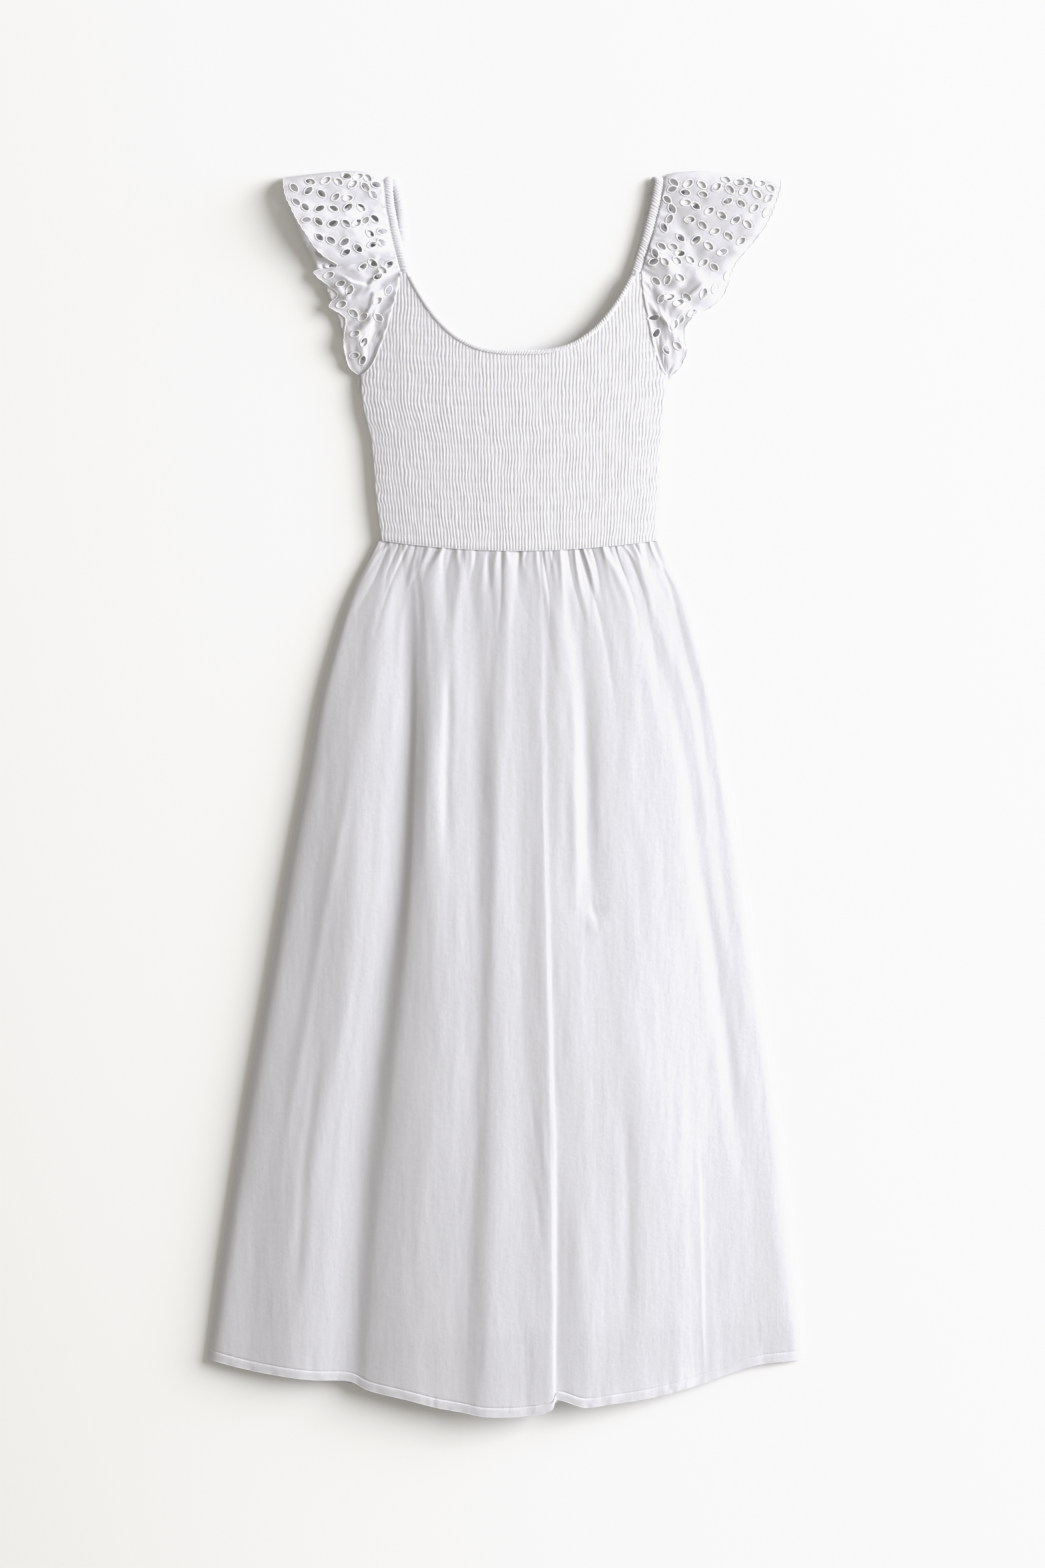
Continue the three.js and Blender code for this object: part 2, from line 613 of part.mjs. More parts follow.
// A place on a sleeve: share 0 to 1 from the shoulder to the underarm, out 0 to 1 from seam to edge.
function flutterPoint(side, share, out) {
  const rows = flutterRows[side];
  const stations = rows.map((_, i) => i / (rows.length - 1));
  const value = (key) => along(stations, rows.map((row) => row[key]), share);
  const middle = 4 * out * (1 - out);
  const seamY = value("seamY");
  const bow = shoulderBow.rise * Math.exp(-share / shoulderBow.reach)
    * Math.sin(Math.PI * out ** shoulderBow.lean);
  const [seamZ, midZ, edgeZ] = ["seamZ", "midZ", "edgeZ"].map(value);
  return new THREE.Vector3(
    mix(sleeveSeamX(side, seamY), value("edgeX"), out),
    mix(seamY, value("edgeY"), out) + bow,
    mix(seamZ, edgeZ, out) + middle * (midZ - (seamZ + edgeZ) / 2),
  );
}

// The eyelets: leaf-shaped holes that slant in turn, on a lattice
const eyelet = {
  length: 10.4,
  width: 5.4,
  acrossStep: 13.8,
  downStep: 15.6,
  tilt: -0.12,
  slants: [-0.95, 0.62], // the turn of each leaf and of its neighbours
  edgeKept: 2.4,
};
const mostEyelets = { front: 42, back: 20 };

function leaf(x, y, slant) {
  const half = eyelet.length / 2;
  const wide = eyelet.width / 2;
  const around = [[half, 0], [half * 0.42, wide], [-half * 0.42, wide], [-half, 0],
    [-half * 0.42, -wide], [half * 0.42, -wide]];
  return around.map(([a, b]) => new THREE.Vector2(
    x + a * Math.cos(slant) - b * Math.sin(slant),
    y + a * Math.sin(slant) + b * Math.cos(slant),
  ));
}

// How far inside an outline a point lies, negative outside.
function depthInside(outline, x, y) {
  let inside = false;
  let nearest = Infinity;
  outline.forEach((a, i) => {
    const b = outline[(i + 1) % outline.length];
    if (a.y > y !== b.y > y && x < ((b.x - a.x) * (y - a.y)) / (b.y - a.y) + a.x) inside = !inside;
    const length = Math.max(1e-9, (b.x - a.x) ** 2 + (b.y - a.y) ** 2);
    const t = clamp(((x - a.x) * (b.x - a.x) + (y - a.y) * (b.y - a.y)) / length, 0, 1);
    nearest = Math.min(nearest, Math.hypot(x - mix(a.x, b.x, t), y - mix(a.y, b.y, t)));
  });
  return inside ? nearest : -nearest;
}

// The leaves of the lattice that lie whole inside an outline, the largest first, up to a number.
function leavesInside(outline, centre, most) {
  const found = [];
  for (let row = -9; row <= 9; row += 1) {
    for (let column = -9; column <= 9; column += 1) {
      const u = column * eyelet.acrossStep;
      const v = row * eyelet.downStep;
      const x = centre.x + u * Math.cos(eyelet.tilt) - v * Math.sin(eyelet.tilt);
      const y = centre.y + u * Math.sin(eyelet.tilt) + v * Math.cos(eyelet.tilt);
      const slant = eyelet.slants[(row + column) % 2 ? 1 : 0] + eyelet.tilt;
      const points = leaf(x, y, slant);
      const least = Math.min(...points.map((p) => depthInside(outline, p.x, p.y)));
      if (least > eyelet.edgeKept) found.push({ points, least });
    }
  }
  found.sort((a, b) => b.least - a.least);
  return found.slice(0, most).map(({ points }) => points);
}

// The outline of a sleeve's front half, seen from above.
function flutterOutline(side) {
  const steps = 24;
  const line = (out, from, to) => Array.from({ length: steps + 1 }, (_, i) => {
    const point = flutterPoint(side, mix(from, to, i / steps), out);
    return new THREE.Vector2(point.x, point.y);
  });
  return [...line(0, 0.03, 1), ...line(1, 1, 0.03)];
}

const flutterGrid = { along: 36, out: 4 };
const flutterCloth = 1;
const steepestNormal = 0.75; // the wall isn't thinned more than this on steep folds

function frontFlutter(side) {
  const outer = [];
  const inner = [];
  const at = (i, j) => (
    flutterPoint(side, clamp(i / flutterGrid.along, 0, 1), clamp(j / flutterGrid.out, 0, 1))
  );
  for (let i = 0; i <= flutterGrid.along; i += 1) {
    const outerRow = [];
    const innerRow = [];
    for (let j = 0; j <= flutterGrid.out; j += 1) {
      const point = at(i, j);
      const down = at(i + 0.5, j).sub(at(i - 0.5, j));
      const outwards = at(i, j + 0.5).sub(at(i, j - 0.5));
      const normal = new THREE.Vector3().crossVectors(down, outwards).normalize();
      if (normal.z < 0) normal.negate();
      normal.z = Math.max(normal.z, steepestNormal);
      if (j === 0) normal.set(0, 0, 1); // the seam's edge is square, so it keeps its gap
      outerRow.push(point);
      innerRow.push(point.clone().addScaledVector(normal.normalize(), -flutterCloth));
    }
    outer.push(outerRow);
    inner.push(innerRow);
  }
  const centre = flutterPoint(side, 0.18, 0.52);
  const holes = leavesInside(flutterOutline(side), centre, mostEyelets.front);
  const cutters = holes.map((points) => solidOf(flatPanel(points, -1, 40)));
  const whole = solidOf(wallBetween(outer, inner));
  return geometryOf(cutters.reduce((left, cutter) => left.subtract(cutter), whole));
}

// The back half lies on the surface under the front half, and shows a little beyond it. A row for each
// height from the shoulder down, with the free edge's place.
const backEdges = {
  left: [
    { x: -227, y: 626 },
    { x: -214, y: 578 },
    { x: -196, y: 540 },
    { x: -181, y: 506 },
    { x: -162, y: 452 },
    { x: -151, y: 405 },
  ],
  right: [
    { x: 278, y: 625 },
    { x: 256, y: 576 },
    { x: 222, y: 530 },
    { x: 190, y: 486 },
    { x: 178, y: 446 },
    { x: 168.5, y: 407 },
  ],
};

function backFlutter(side) {
  const steps = 28;
  const rows = backEdges[side];
  const stations = rows.map((_, i) => i / (rows.length - 1));
  const seamLine = [];
  const edgeLine = [];
  for (let i = 0; i <= steps; i += 1) {
    const share = i / steps;
    const at = (key) => along(stations, rows.map((row) => row[key]), share);
    const inner = flutterPoint(side, share, 0);
    seamLine.push(new THREE.Vector2(inner.x + Math.sign(inner.x) * seam * 2, inner.y));
    edgeLine.push(new THREE.Vector2(at("x"), at("y")));
  }
  const shoulder = quarters.map((t) => flutterPoint(side, 0, 1 - t));
  const fold = shoulder.map((point) => new THREE.Vector2(point.x, point.y));
  const outline = [...seamLine, ...edgeLine.reverse(), ...fold];
  const centre = flutterPoint(side, 0.2, 0.5);
  const shifted = new THREE.Vector2(centre.x + eyelet.acrossStep / 2, centre.y - eyelet.downStep / 2);
  return flatPanel(outline, 0, flutterCloth, leavesInside(outline, shifted, mostEyelets.back));
}

// The dress

const dress = new THREE.Group();

function piece(name, geometry, finish) {
  const mesh = new THREE.Mesh(geometry, new THREE.MeshStandardMaterial(finish));
  mesh.name = name;
  dress.add(mesh);
}

const bandHeight = (centre) => bodiceHeight(centre.x, Math.min(centre.y, strapBase.y)) + 0.4;

piece("skirt_back", backSkirt(), cotton);
piece("skirt_lining", slipLining(), slipCotton);
piece("skirt_front", frontSkirt(), cotton);
piece("bodice_back", backBodice(), cotton);
piece("bodice_front", frontBodice(), cotton);
piece("neck_band_back", neckBandSolid(20, () => bodiceBackThick / 2, bodiceBackThick - 0.2, 0), cotton);
piece("neck_band_front", neckBandSolid(64, bandHeight, neckBand.thick, 0.2), cotton);
piece("strap_left", strap("left"), cotton);
piece("strap_right", strap("right"), cotton);
piece("sleeve_left_back", backFlutter("left"), eyeletCotton);
piece("sleeve_right_back", backFlutter("right"), eyeletCotton);
piece("sleeve_left_front", frontFlutter("left"), eyeletCotton);
piece("sleeve_right_front", frontFlutter("right"), eyeletCotton);

export default dress;
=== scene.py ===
import math
import bpy
import numpy as np
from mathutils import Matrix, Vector
from mathutils.geometry import delaunay_2d_cdt


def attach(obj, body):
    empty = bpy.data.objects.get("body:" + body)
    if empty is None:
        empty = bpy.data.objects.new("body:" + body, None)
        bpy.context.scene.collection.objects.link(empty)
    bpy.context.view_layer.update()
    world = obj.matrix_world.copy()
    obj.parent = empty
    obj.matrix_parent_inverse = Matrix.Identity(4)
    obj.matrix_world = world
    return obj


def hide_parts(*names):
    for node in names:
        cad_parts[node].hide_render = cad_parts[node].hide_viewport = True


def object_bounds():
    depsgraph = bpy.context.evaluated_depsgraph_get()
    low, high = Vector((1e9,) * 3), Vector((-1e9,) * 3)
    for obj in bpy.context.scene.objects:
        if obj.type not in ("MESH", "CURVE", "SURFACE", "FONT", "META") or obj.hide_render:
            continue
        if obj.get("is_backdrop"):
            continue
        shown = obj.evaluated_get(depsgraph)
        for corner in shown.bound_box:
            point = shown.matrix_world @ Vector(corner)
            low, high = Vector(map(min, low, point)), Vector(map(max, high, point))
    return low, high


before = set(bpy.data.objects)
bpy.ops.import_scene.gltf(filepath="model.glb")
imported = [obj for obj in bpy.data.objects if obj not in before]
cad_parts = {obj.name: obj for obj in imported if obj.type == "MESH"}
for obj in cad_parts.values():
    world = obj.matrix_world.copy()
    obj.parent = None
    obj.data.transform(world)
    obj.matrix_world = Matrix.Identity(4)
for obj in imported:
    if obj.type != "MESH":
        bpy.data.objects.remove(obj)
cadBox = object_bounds()
print("frame loaded")

# A smocked midi dress laid flat on its back. Sizes are millimetres until a mesh is made.

mm = 0.001
seam = 0.3  # the gap between pieces that are sewn together

studio = {
    "photoMiddle": (16.3, 8.5),  # where the camera looks straight down
    "cameraHeight": 4000,
    "lens": 90,
    "filmWidth": 36,
    "keyTurn": 14,  # degrees from +X towards +Y, where the light comes from
    "keyRise": 16.5,  # degrees above the floor
    "keyDistance": 6000,
    "keySize": 5100,
    "keyPower": 915,
    "keyColour": (0.94, 0.96, 1.0),
    "roomStrength": 0.39,
    "roomColour": (1.0, 0.96, 0.85),
    "floorColour": (0.98, 0.974, 0.982),
    "floorRoughness": 0.95,
    "floorSize": 8000,
    "floorGap": 0.2,  # how far the floor lies under the dress
    # eases highlights in below white
    "shoulder": [(0.6, 0.6), (0.78, 0.81), (0.87, 0.915), (1.0, 0.947), (1.5, 0.96)],
}


def buildStudio():
    scene = bpy.context.scene
    scene.view_settings.view_transform = "Standard"
    scene.view_settings.look = "None"
    scene.view_settings.use_curve_mapping = True
    response = scene.view_settings.curve_mapping
    response.clip_max_x = response.clip_max_y = 2
    tones = response.curves[3].points
    tones[1].location = studio["shoulder"][-1]
    for level in studio["shoulder"][:-1]:
        tones.new(*level)
    response.update()
    x, y = studio["photoMiddle"]
    cameraData = bpy.data.cameras.new("camera")
    cameraData.lens = studio["lens"]
    cameraData.sensor_width = studio["filmWidth"]
    camera = bpy.data.objects.new("camera", cameraData)
    camera.location = (x * mm, y * mm, studio["cameraHeight"] * mm)
    scene.collection.objects.link(camera)
    scene.camera = camera
    keyData = bpy.data.lights.new("keyLight", "AREA")
    keyData.shape = "DISK"
    keyData.size = studio["keySize"] * mm
    keyData.energy = studio["keyPower"]
    keyData.color = studio["keyColour"]
    key = bpy.data.objects.new("keyLight", keyData)
    turn, rise = math.radians(studio["keyTurn"]), math.radians(studio["keyRise"])
    towards = Vector((math.cos(turn) * math.cos(rise), math.sin(turn) * math.cos(rise), math.sin(rise)))
    key.location = towards * studio["keyDistance"] * mm
    key.rotation_euler = towards.to_track_quat("Z", "Y").to_euler()
    scene.collection.objects.link(key)
    world = bpy.data.worlds.new("room")
    world.use_nodes = True
    room = world.node_tree.nodes["Background"]
    room.inputs["Color"].default_value = (*studio["roomColour"], 1)
    room.inputs["Strength"].default_value = studio["roomStrength"]
    scene.world = world
    half, low = studio["floorSize"] / 2 * mm, -studio["floorGap"] * mm
    floorMesh = bpy.data.meshes.new("floor")
    corners = [(-half, -half, low), (half, -half, low), (half, half, low), (-half, half, low)]
    floorMesh.from_pydata(corners, [], [(0, 1, 2, 3)])
    floor = bpy.data.objects.new("floor", floorMesh)
    scene.collection.objects.link(floor)
    finish = Finish("paleFloor")
    finish.shade({"Base Color": (*studio["floorColour"], 1), "Roughness": studio["floorRoughness"]})
    floorMesh.materials.append(finish.material)
    floor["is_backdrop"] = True


# Materials

class Wire:
    def __init__(self, finish, socket):
        self.finish = finish
        self.socket = socket

    def maths(self, operation, first, second=0.0, clamp=False):
        settings = {"operation": operation, "use_clamp": clamp}
        return self.finish.node("ShaderNodeMath", settings, {0: first, 1: second})

    def __add__(self, other): return self.maths("ADD", self, other)
    def __radd__(self, other): return self.maths("ADD", other, self)
    def __sub__(self, other): return self.maths("SUBTRACT", self, other)
    def __rsub__(self, other): return self.maths("SUBTRACT", other, self)
    def __mul__(self, other): return self.maths("MULTIPLY", self, other)
    def __rmul__(self, other): return self.maths("MULTIPLY", other, self)

    def wave(self): return self.maths("SINE", self)
    def within(self): return self.maths("ADD", self, 0.0, clamp=True)


class Finish:
    def __init__(self, name):
        self.material = bpy.data.materials.new(name)
        self.material.use_nodes = True
        self.tree = self.material.node_tree
        self.shader = self.tree.nodes["Principled BSDF"]

    def node(self, kind, settings, inputs, output=0):
        made = self.tree.nodes.new(kind)
        for key, value in settings.items():
            setattr(made, key, value)
        for key, value in inputs.items():
            self.feed(made.inputs[key], value)
        return Wire(self, made.outputs[output])

    def feed(self, socket, value):
        if isinstance(value, Wire):
            self.tree.links.new(value.socket, socket)
        else:
            socket.default_value = value

    def shade(self, inputs):
        for key, value in inputs.items():
            self.feed(self.shader.inputs[key], value)

    def place(self):
        return self.node("ShaderNodeTexCoord", {}, {}, "Object")

    def split(self, vector, axis):
        return self.node("ShaderNodeSeparateXYZ", {}, {0: vector}, axis)

    def stretch(self, vector, scale):
        return self.node("ShaderNodeMapping", {}, {"Vector": vector, "Scale": scale})

    def noise(self, vector, scale, detail=3.0, roughness=0.55):
        inputs = {"Vector": vector, "Scale": scale, "Detail": detail, "Roughness": roughness}
        return self.node("ShaderNodeTexNoise", {}, inputs, "Fac")

    def blend(self, factor, first, second):
        made = self.tree.nodes.new("ShaderNodeMix")
        made.data_type = "RGBA"
        for socket, value in ((made.inputs[0], factor), (made.inputs[6], first), (made.inputs[7], second)):
            self.feed(socket, value)
        return Wire(self, made.outputs[2])

    def sheer(self, share, colour):
        glow = self.node("ShaderNodeBsdfTranslucent", {}, {"Color": colour})
        cloth = Wire(self, self.shader.outputs[0])
        both = self.node("ShaderNodeMixShader", {}, {0: share, 1: cloth, 2: glow})
        self.feed(self.tree.nodes["Material Output"].inputs["Surface"], both)

    def bump(self, height, distance, strength=1.0, below=None):
        inputs = {"Height": height, "Distance": distance, "Strength": strength}
        if below is not None:
            inputs["Normal"] = below
        return self.node("ShaderNodeBump", {}, inputs)


cottonLook = {
    "light": (0.905, 0.897, 0.94, 1),
    "shade": (0.89, 0.882, 0.927, 1),
    "seeThrough": 0.28,  # the share of light that goes through a face of the cloth
    "through": (0.92, 0.92, 0.94, 1),
    "threadPitch": 0.42,  # the weave, in millimetres
    "threadDepth": 0.035,
    "threadStrength": 0.6,
    "creaseDepth": 0.4,
    "crumpleDepth": 0.2,
    "crumpleScale": 170,
    "toneScale": 24,
    "roughness": 0.82,
    "roughnessSpread": 0.1,
    "specular": 0.25,
    "sheen": 0.06,
}


# Plain-woven cotton: crossing threads, soft creases along the cloth and a finer crumple; where a slip hem
# line is given, painted shade darkens the cloth below it.
def cottonFinish(name, along=(90, 16, 90), crease=1.0, crumple=1.0, tint=1.0, sheer=1.0, paintedSlipShade=None):
    finish = Finish(name)
    place = finish.place()
    x, y = finish.split(place, "X"), finish.split(place, "Y")
    turns = 2 * math.pi / (cottonLook["threadPitch"] * mm)
    threads = (x * turns).wave() * (y * turns).wave()
    creases = finish.noise(finish.stretch(place, along), 1.0, 2.0, 0.5)
    crumples = finish.noise(place, cottonLook["crumpleScale"], 4.0, 0.6)
    tone = finish.noise(place, cottonLook["toneScale"], 3.0)
    tinted = lambda colour, share: tuple(c * share for c in colour[:3]) + (1,)
    light, shade = tinted(cottonLook["light"], tint), tinted(cottonLook["shade"], tint)
    colour = finish.blend(tone, shade, light)
    # painted shade: below the slip's hem line the cloth is made darker, standing in for the shade that shows
    # through a single layer of cloth
    if paintedSlipShade:
        below = ((paintedSlipShade["y"] * mm + x * paintedSlipShade["slope"] - y) * (1 / (paintedSlipShade["blur"] * mm))).within()
        colour = finish.blend(below, colour, tinted(shade, paintedSlipShade["tint"]))
    relief = finish.bump(creases, cottonLook["creaseDepth"] * crease * mm)
    relief = finish.bump(crumples, cottonLook["crumpleDepth"] * crumple * mm, 1.0, relief)
    relief = finish.bump(threads, cottonLook["threadDepth"] * mm, cottonLook["threadStrength"], relief)
    finish.shade({"Base Color": colour,
                  "Roughness": tone * cottonLook["roughnessSpread"] + cottonLook["roughness"],
                  "Sheen Weight": cottonLook["sheen"],
                  "Specular IOR Level": cottonLook["specular"],
                  "Normal": relief})
    finish.sheer(cottonLook["seeThrough"] * sheer, cottonLook["through"])
    return finish.material


threadLook = {
    "light": (0.91, 0.912, 0.92, 1),
    "shade": (0.87, 0.872, 0.89, 1),
    "stitchScale": 1400,
    "stitchDepth": 0.12,
    "toneScale": 60,
    "roughness": 0.62,
    "sheen": 0.1,
}


# Satin stitches round the eyelets, close together and a little glossier than the cloth.
def threadFinish(name):
    finish = Finish(name)
    place = finish.place()
    stitches = finish.noise(place, threadLook["stitchScale"], 2.0)
    tone = finish.noise(place, threadLook["toneScale"], 2.0)
    finish.shade({"Base Color": finish.blend(tone, threadLook["shade"], threadLook["light"]),
                  "Roughness": threadLook["roughness"],
                  "Sheen Weight": threadLook["sheen"],
                  "Normal": finish.bump(stitches, threadLook["stitchDepth"] * mm)})
    return finish.material


# Numbers along a run

def mix(a, b, t):
    return a + (b - a) * t


def ease(t):
    return t * t * (3 - 2 * t)


# How far each point of a line is from its first one, along the line.
def runAlong(line):
    return np.concatenate([[0], np.cumsum(np.linalg.norm(np.diff(line, axis=0), axis=1))])


# A smooth line through values at rising stations, which never overshoots between two of them.
def along(stations, values, t):
    s = np.asarray(stations, float)
    v = np.asarray(values, float)
    at = np.clip(t, s[0], s[-1])
    rise = np.diff(v) / np.diff(s)
    slope = np.empty_like(v)
    slope[0], slope[-1] = rise[0], rise[-1]
    before, after = rise[:-1], rise[1:]
    turning = before * after <= 0
    slope[1:-1] = np.where(turning, 0, 2 * before * after / np.where(turning, 1, before + after))
    i = np.clip(np.searchsorted(s, at, side="right") - 1, 0, len(s) - 2)
    width = s[i + 1] - s[i]
    part = (at - s[i]) / width
    start = v[i] + part * width * slope[i]
    end = v[i + 1] - (1 - part) * width * slope[i + 1]
    return mix(start, end, ease(part))


# Smooth random values from -1 to 1, one for each unit square, the same on every run.
def softNoise(x, y, seed):
    grid = np.random.default_rng(seed).uniform(-1, 1, (97, 97))
    left, low = np.floor(x).astype(int), np.floor(y).astype(int)
    fx, fy = ease(x - left), ease(y - low)
    pick = lambda i, j: grid[j % 97, i % 97]
    return mix(mix(pick(left, low), pick(left + 1, low), fx),
               mix(pick(left, low + 1), pick(left + 1, low + 1), fx), fy)


# The centripetal curve through each row of knots, at the given places from 0 to the last knot.
def throughKnots(knots, places):
    before = 2 * knots[:, :1] - knots[:, 1:2]
    after = 2 * knots[:, -1:] - knots[:, -2:-1]
    points = np.concatenate([before, knots, after], 1)
    i = np.clip(np.floor(places).astype(int), 0, knots.shape[1] - 2)
    t = (places - i)[None, :, None]
    a, b, c, d = (points[:, i + k] for k in range(4))
    span = lambda p, q: np.maximum(np.sqrt(np.linalg.norm(q - p, axis=2, keepdims=True)), 1e-4)
    ab, bc, cd = span(a, b), span(b, c), span(c, d)
    inward = ((b - a) / ab - (c - a) / (ab + bc) + (c - b) / bc) * bc
    outward = ((c - b) / bc - (d - b) / (bc + cd) + (d - c) / cd) * bc
    return (b + inward * t + (-3 * b + 3 * c - 2 * inward - outward) * t ** 2
            + (2 * b - 2 * c + inward + outward) * t ** 3)


# Meshes

def newPiece(name, points, faces, material, slot, nodes=()):
    mesh = bpy.data.meshes.new(name)
    mesh.from_pydata((np.asarray(points, float) * mm).tolist(), [], faces)
    mesh.polygons.foreach_set("use_smooth", np.ones(len(mesh.polygons), bool))
    mesh.calc_loop_triangles()
    corners = np.empty(len(mesh.loop_triangles) * 3, np.int32)
    mesh.loop_triangles.foreach_get("vertices", corners)
    a, b, c = np.moveaxis(np.asarray(points, float)[corners.reshape(-1, 3)], 1, 0)
    if np.einsum("ij,ij->", a, np.cross(b, c)) < 0:
        mesh.flip_normals()
    mesh.update()
    mesh.materials.append(material)
    piece = bpy.data.objects.new(name, mesh)
    bpy.context.scene.collection.objects.link(piece)
    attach(piece, "root")
    if nodes:
        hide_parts(*nodes)
    print(name, len(mesh.loop_triangles), "triangles")
    return piece


def gridFaces(grid):
    return np.stack([grid[:-1, :-1], grid[:-1, 1:], grid[1:, 1:], grid[1:, :-1]], -1).reshape(-1, 4)


# A closed thin shell between an outer sheet of points and an inner one with fewer columns.
def closedSheet(outer, inner):
    rows, fine = outer.shape[:2]
    plain = inner.shape[1]
    step = (fine - 1) // (plain - 1)
    top = np.arange(rows * fine).reshape(rows, fine)
    under = rows * fine + np.arange(rows * plain).reshape(rows, plain)
    faces = gridFaces(top).tolist() + gridFaces(under)[:, ::-1].tolist()
    for side in (0, -1):
        rim = np.stack([top[:-1, side], top[1:, side], under[1:, side], under[:-1, side]], -1)
        faces += (rim if side == 0 else rim[:, ::-1]).tolist()
    for r in (0, -1):
        for c in range(plain - 1):
            fan = [under[r, c + 1], under[r, c], *top[r, c * step:(c + 1) * step + 1]]
            faces.append([int(v) for v in (fan if r == 0 else fan[::-1])])
    points = np.concatenate([outer.reshape(-1, 3), inner.reshape(-1, 3)])
    return points, faces


# A closed tube through rings of points, with a cap at both ends, or joined into a loop.
def tubeThrough(rings, loop=False, start=0):
    count, sides = rings.shape[:2]
    grid = start + np.arange(count * sides).reshape(count, sides)
    grid = np.concatenate([grid, grid[:, :1]], 1)
    if loop:
        grid = np.concatenate([grid, grid[:1]], 0)
    faces = gridFaces(grid).tolist()
    if not loop:
        faces += [grid[0, :-1].tolist(), grid[-1, :-1][::-1].tolist()]
    return rings.reshape(-1, 3), faces


# Round or oval rings about a line, from its sideways and upwards half axes.
def ringsAbout(centres, sideways, upwards, sides):
    turn = 2 * np.pi * (np.arange(sides) + 0.5) / sides
    return (centres[:, None] + sideways[:, None] * np.cos(turn)[None, :, None]
            + upwards[:, None] * np.sin(turn)[None, :, None])


def unit(vectors):
    return vectors / np.maximum(np.linalg.norm(vectors, axis=-1, keepdims=True), 1e-9)


# Many small stitches along a line of points, as one mesh of short rounded bars.
def stitchRow(line, normals, size):
    run = runAlong(line)
    starts = np.arange(size["gap"], run[-1] - size["length"], size["length"] + size["gap"])
    at = lambda d, what: np.stack([np.interp(d, run, what[:, k]) for k in range(3)], -1)
    points, faces = [], []
    for start in starts:
        d = start + size["length"] * np.array([0, 0.12, 0.5, 0.88, 1])
        centres = at(d, line)
        up = unit(at(d, normals))
        ahead = unit(np.gradient(centres, axis=0))
        swell = np.array([0.25, 0.8, 1, 0.8, 0.25])[:, None] * size["radius"]
        lift = up * size["radius"] * np.array([-0.9, 0.0, 0.5, 0.0, -0.9])[:, None]
        rings = ringsAbout(centres + lift, np.cross(ahead, up) * swell, up * swell * 0.8, 6)
        made, more = tubeThrough(rings, start=len(points) * 30)
        points.append(made)
        faces += more
    return np.concatenate(points), faces


# The waist, where the skirt's gathers meet the shirred bodice

waist = {"right": 154, "middle": 12, "lowest": 245.5, "rise": 11}


def waistY(x):
    return waist["lowest"] + waist["rise"] * ((x - waist["middle"]) / (waist["right"] - waist["middle"])) ** 2


# The front skirt: long folds that fan out from the waist to the hem.
# Each line: its name, its x at the stations, its height there, and the y of its hem.

skirtStations = [0, 0.12, 0.3, 0.55, 0.8, 1]
skirtLines = [
    ("left tuck", [-129, -170.5, -203.5, -241.5, -278.5, -303.1], [1.6] * 6, -577),
    ("left side", [-130, -172, -205, -243, -280, -304.6], [2.8] * 6, -577),
    ("left roll", [-127, -168, -200, -237, -273, -298], [5, 7.4, 8.2, 8.6, 8.4, 7.2], -579),
    ("left slope", [-122, -150, -180, -207, -247, -262], [5.8, 9.8, 12, 12.8, 12, 10.6], -588),
    ("first crest", [-116, -127, -150, -166, -205, -215], [6.4, 11.2, 14.8, 17.2, 16.2, 14], -596),
    ("first fall", [-111, -113, -129, -150, -183, -196], [6.1, 10.2, 13.4, 16.4, 15.4, 13], -598),
    ("first valley", [-104, -98, -102, -123, -148, -158], [6, 9.2, 11.2, 14, 13.2, 10.9], -600),
    ("second edge", [-97, -90, -93, -106, -129, -141], [7.2, 11, 15.2, 19.2, 17.4, 14], -608),
    ("second crest", [-88, -77, -77, -76, -90, -99], [8.2, 13, 18.2, 22.2, 20.8, 17.6], -618),
    ("second fall", [-62, -52, -52, -54, -64, -72], [8, 12.6, 17.4, 22.2, 21.4, 18.6], -625),
    ("second valley", [-36, -28, -27, -29, -38, -44], [8.2, 11.8, 16.6, 21.6, 21.6, 19.4], -630),
    ("third edge", [-9, -8, -11, -13, -18, -23], [9.6, 13.8, 18.6, 23.4, 23.4, 21.4], -634),
    ("third dip", [12, 14, 14, 17, 20, 19], [9.2, 13, 17.5, 22.4, 22.1, 20.1], -633.5),
    ("middle edge", [31, 35, 38, 43, 47, 46], [9.4, 13.4, 17.8, 22.4, 22, 19.8], -628),
    ("third valley", [36, 40, 43, 48, 52, 51], [9, 13, 17.3, 21.7, 21.1, 18.9], -618),
    ("fourth crest", [48, 52, 56, 68, 76, 80], [9, 12.8, 17, 21.4, 21.2, 18.8], -625),
    ("fourth valley", [68, 74, 78, 96, 104, 106], [7.8, 11.4, 15.4, 19.6, 19, 16.8], -622),
    ("broad crest", [86, 96, 104, 132, 148, 151], [8, 11.6, 15.2, 17.6, 16.6, 14.4], -615),
    ("right fold", [120, 152, 184, 200, 205, 203], [6.6, 8, 9.4, 10.8, 11, 9.8], -601),
    ("right slope", [139, 174, 206, 230, 247, 254], [5.2, 6, 6.4, 7.4, 7.6, 6.6], -584),
    ("right roll", [151, 191, 220, 252, 280, 298], [4.6, 5, 5.2, 5.4, 5.2, 4.9], -578.5),
    ("right side", [154, 195, 225, 258, 287, 304.6], [2.8] * 6, -577),
    ("right tuck", [153, 193.5, 223.5, 256.5, 285.5, 303.1], [1.6] * 6, -577),
]
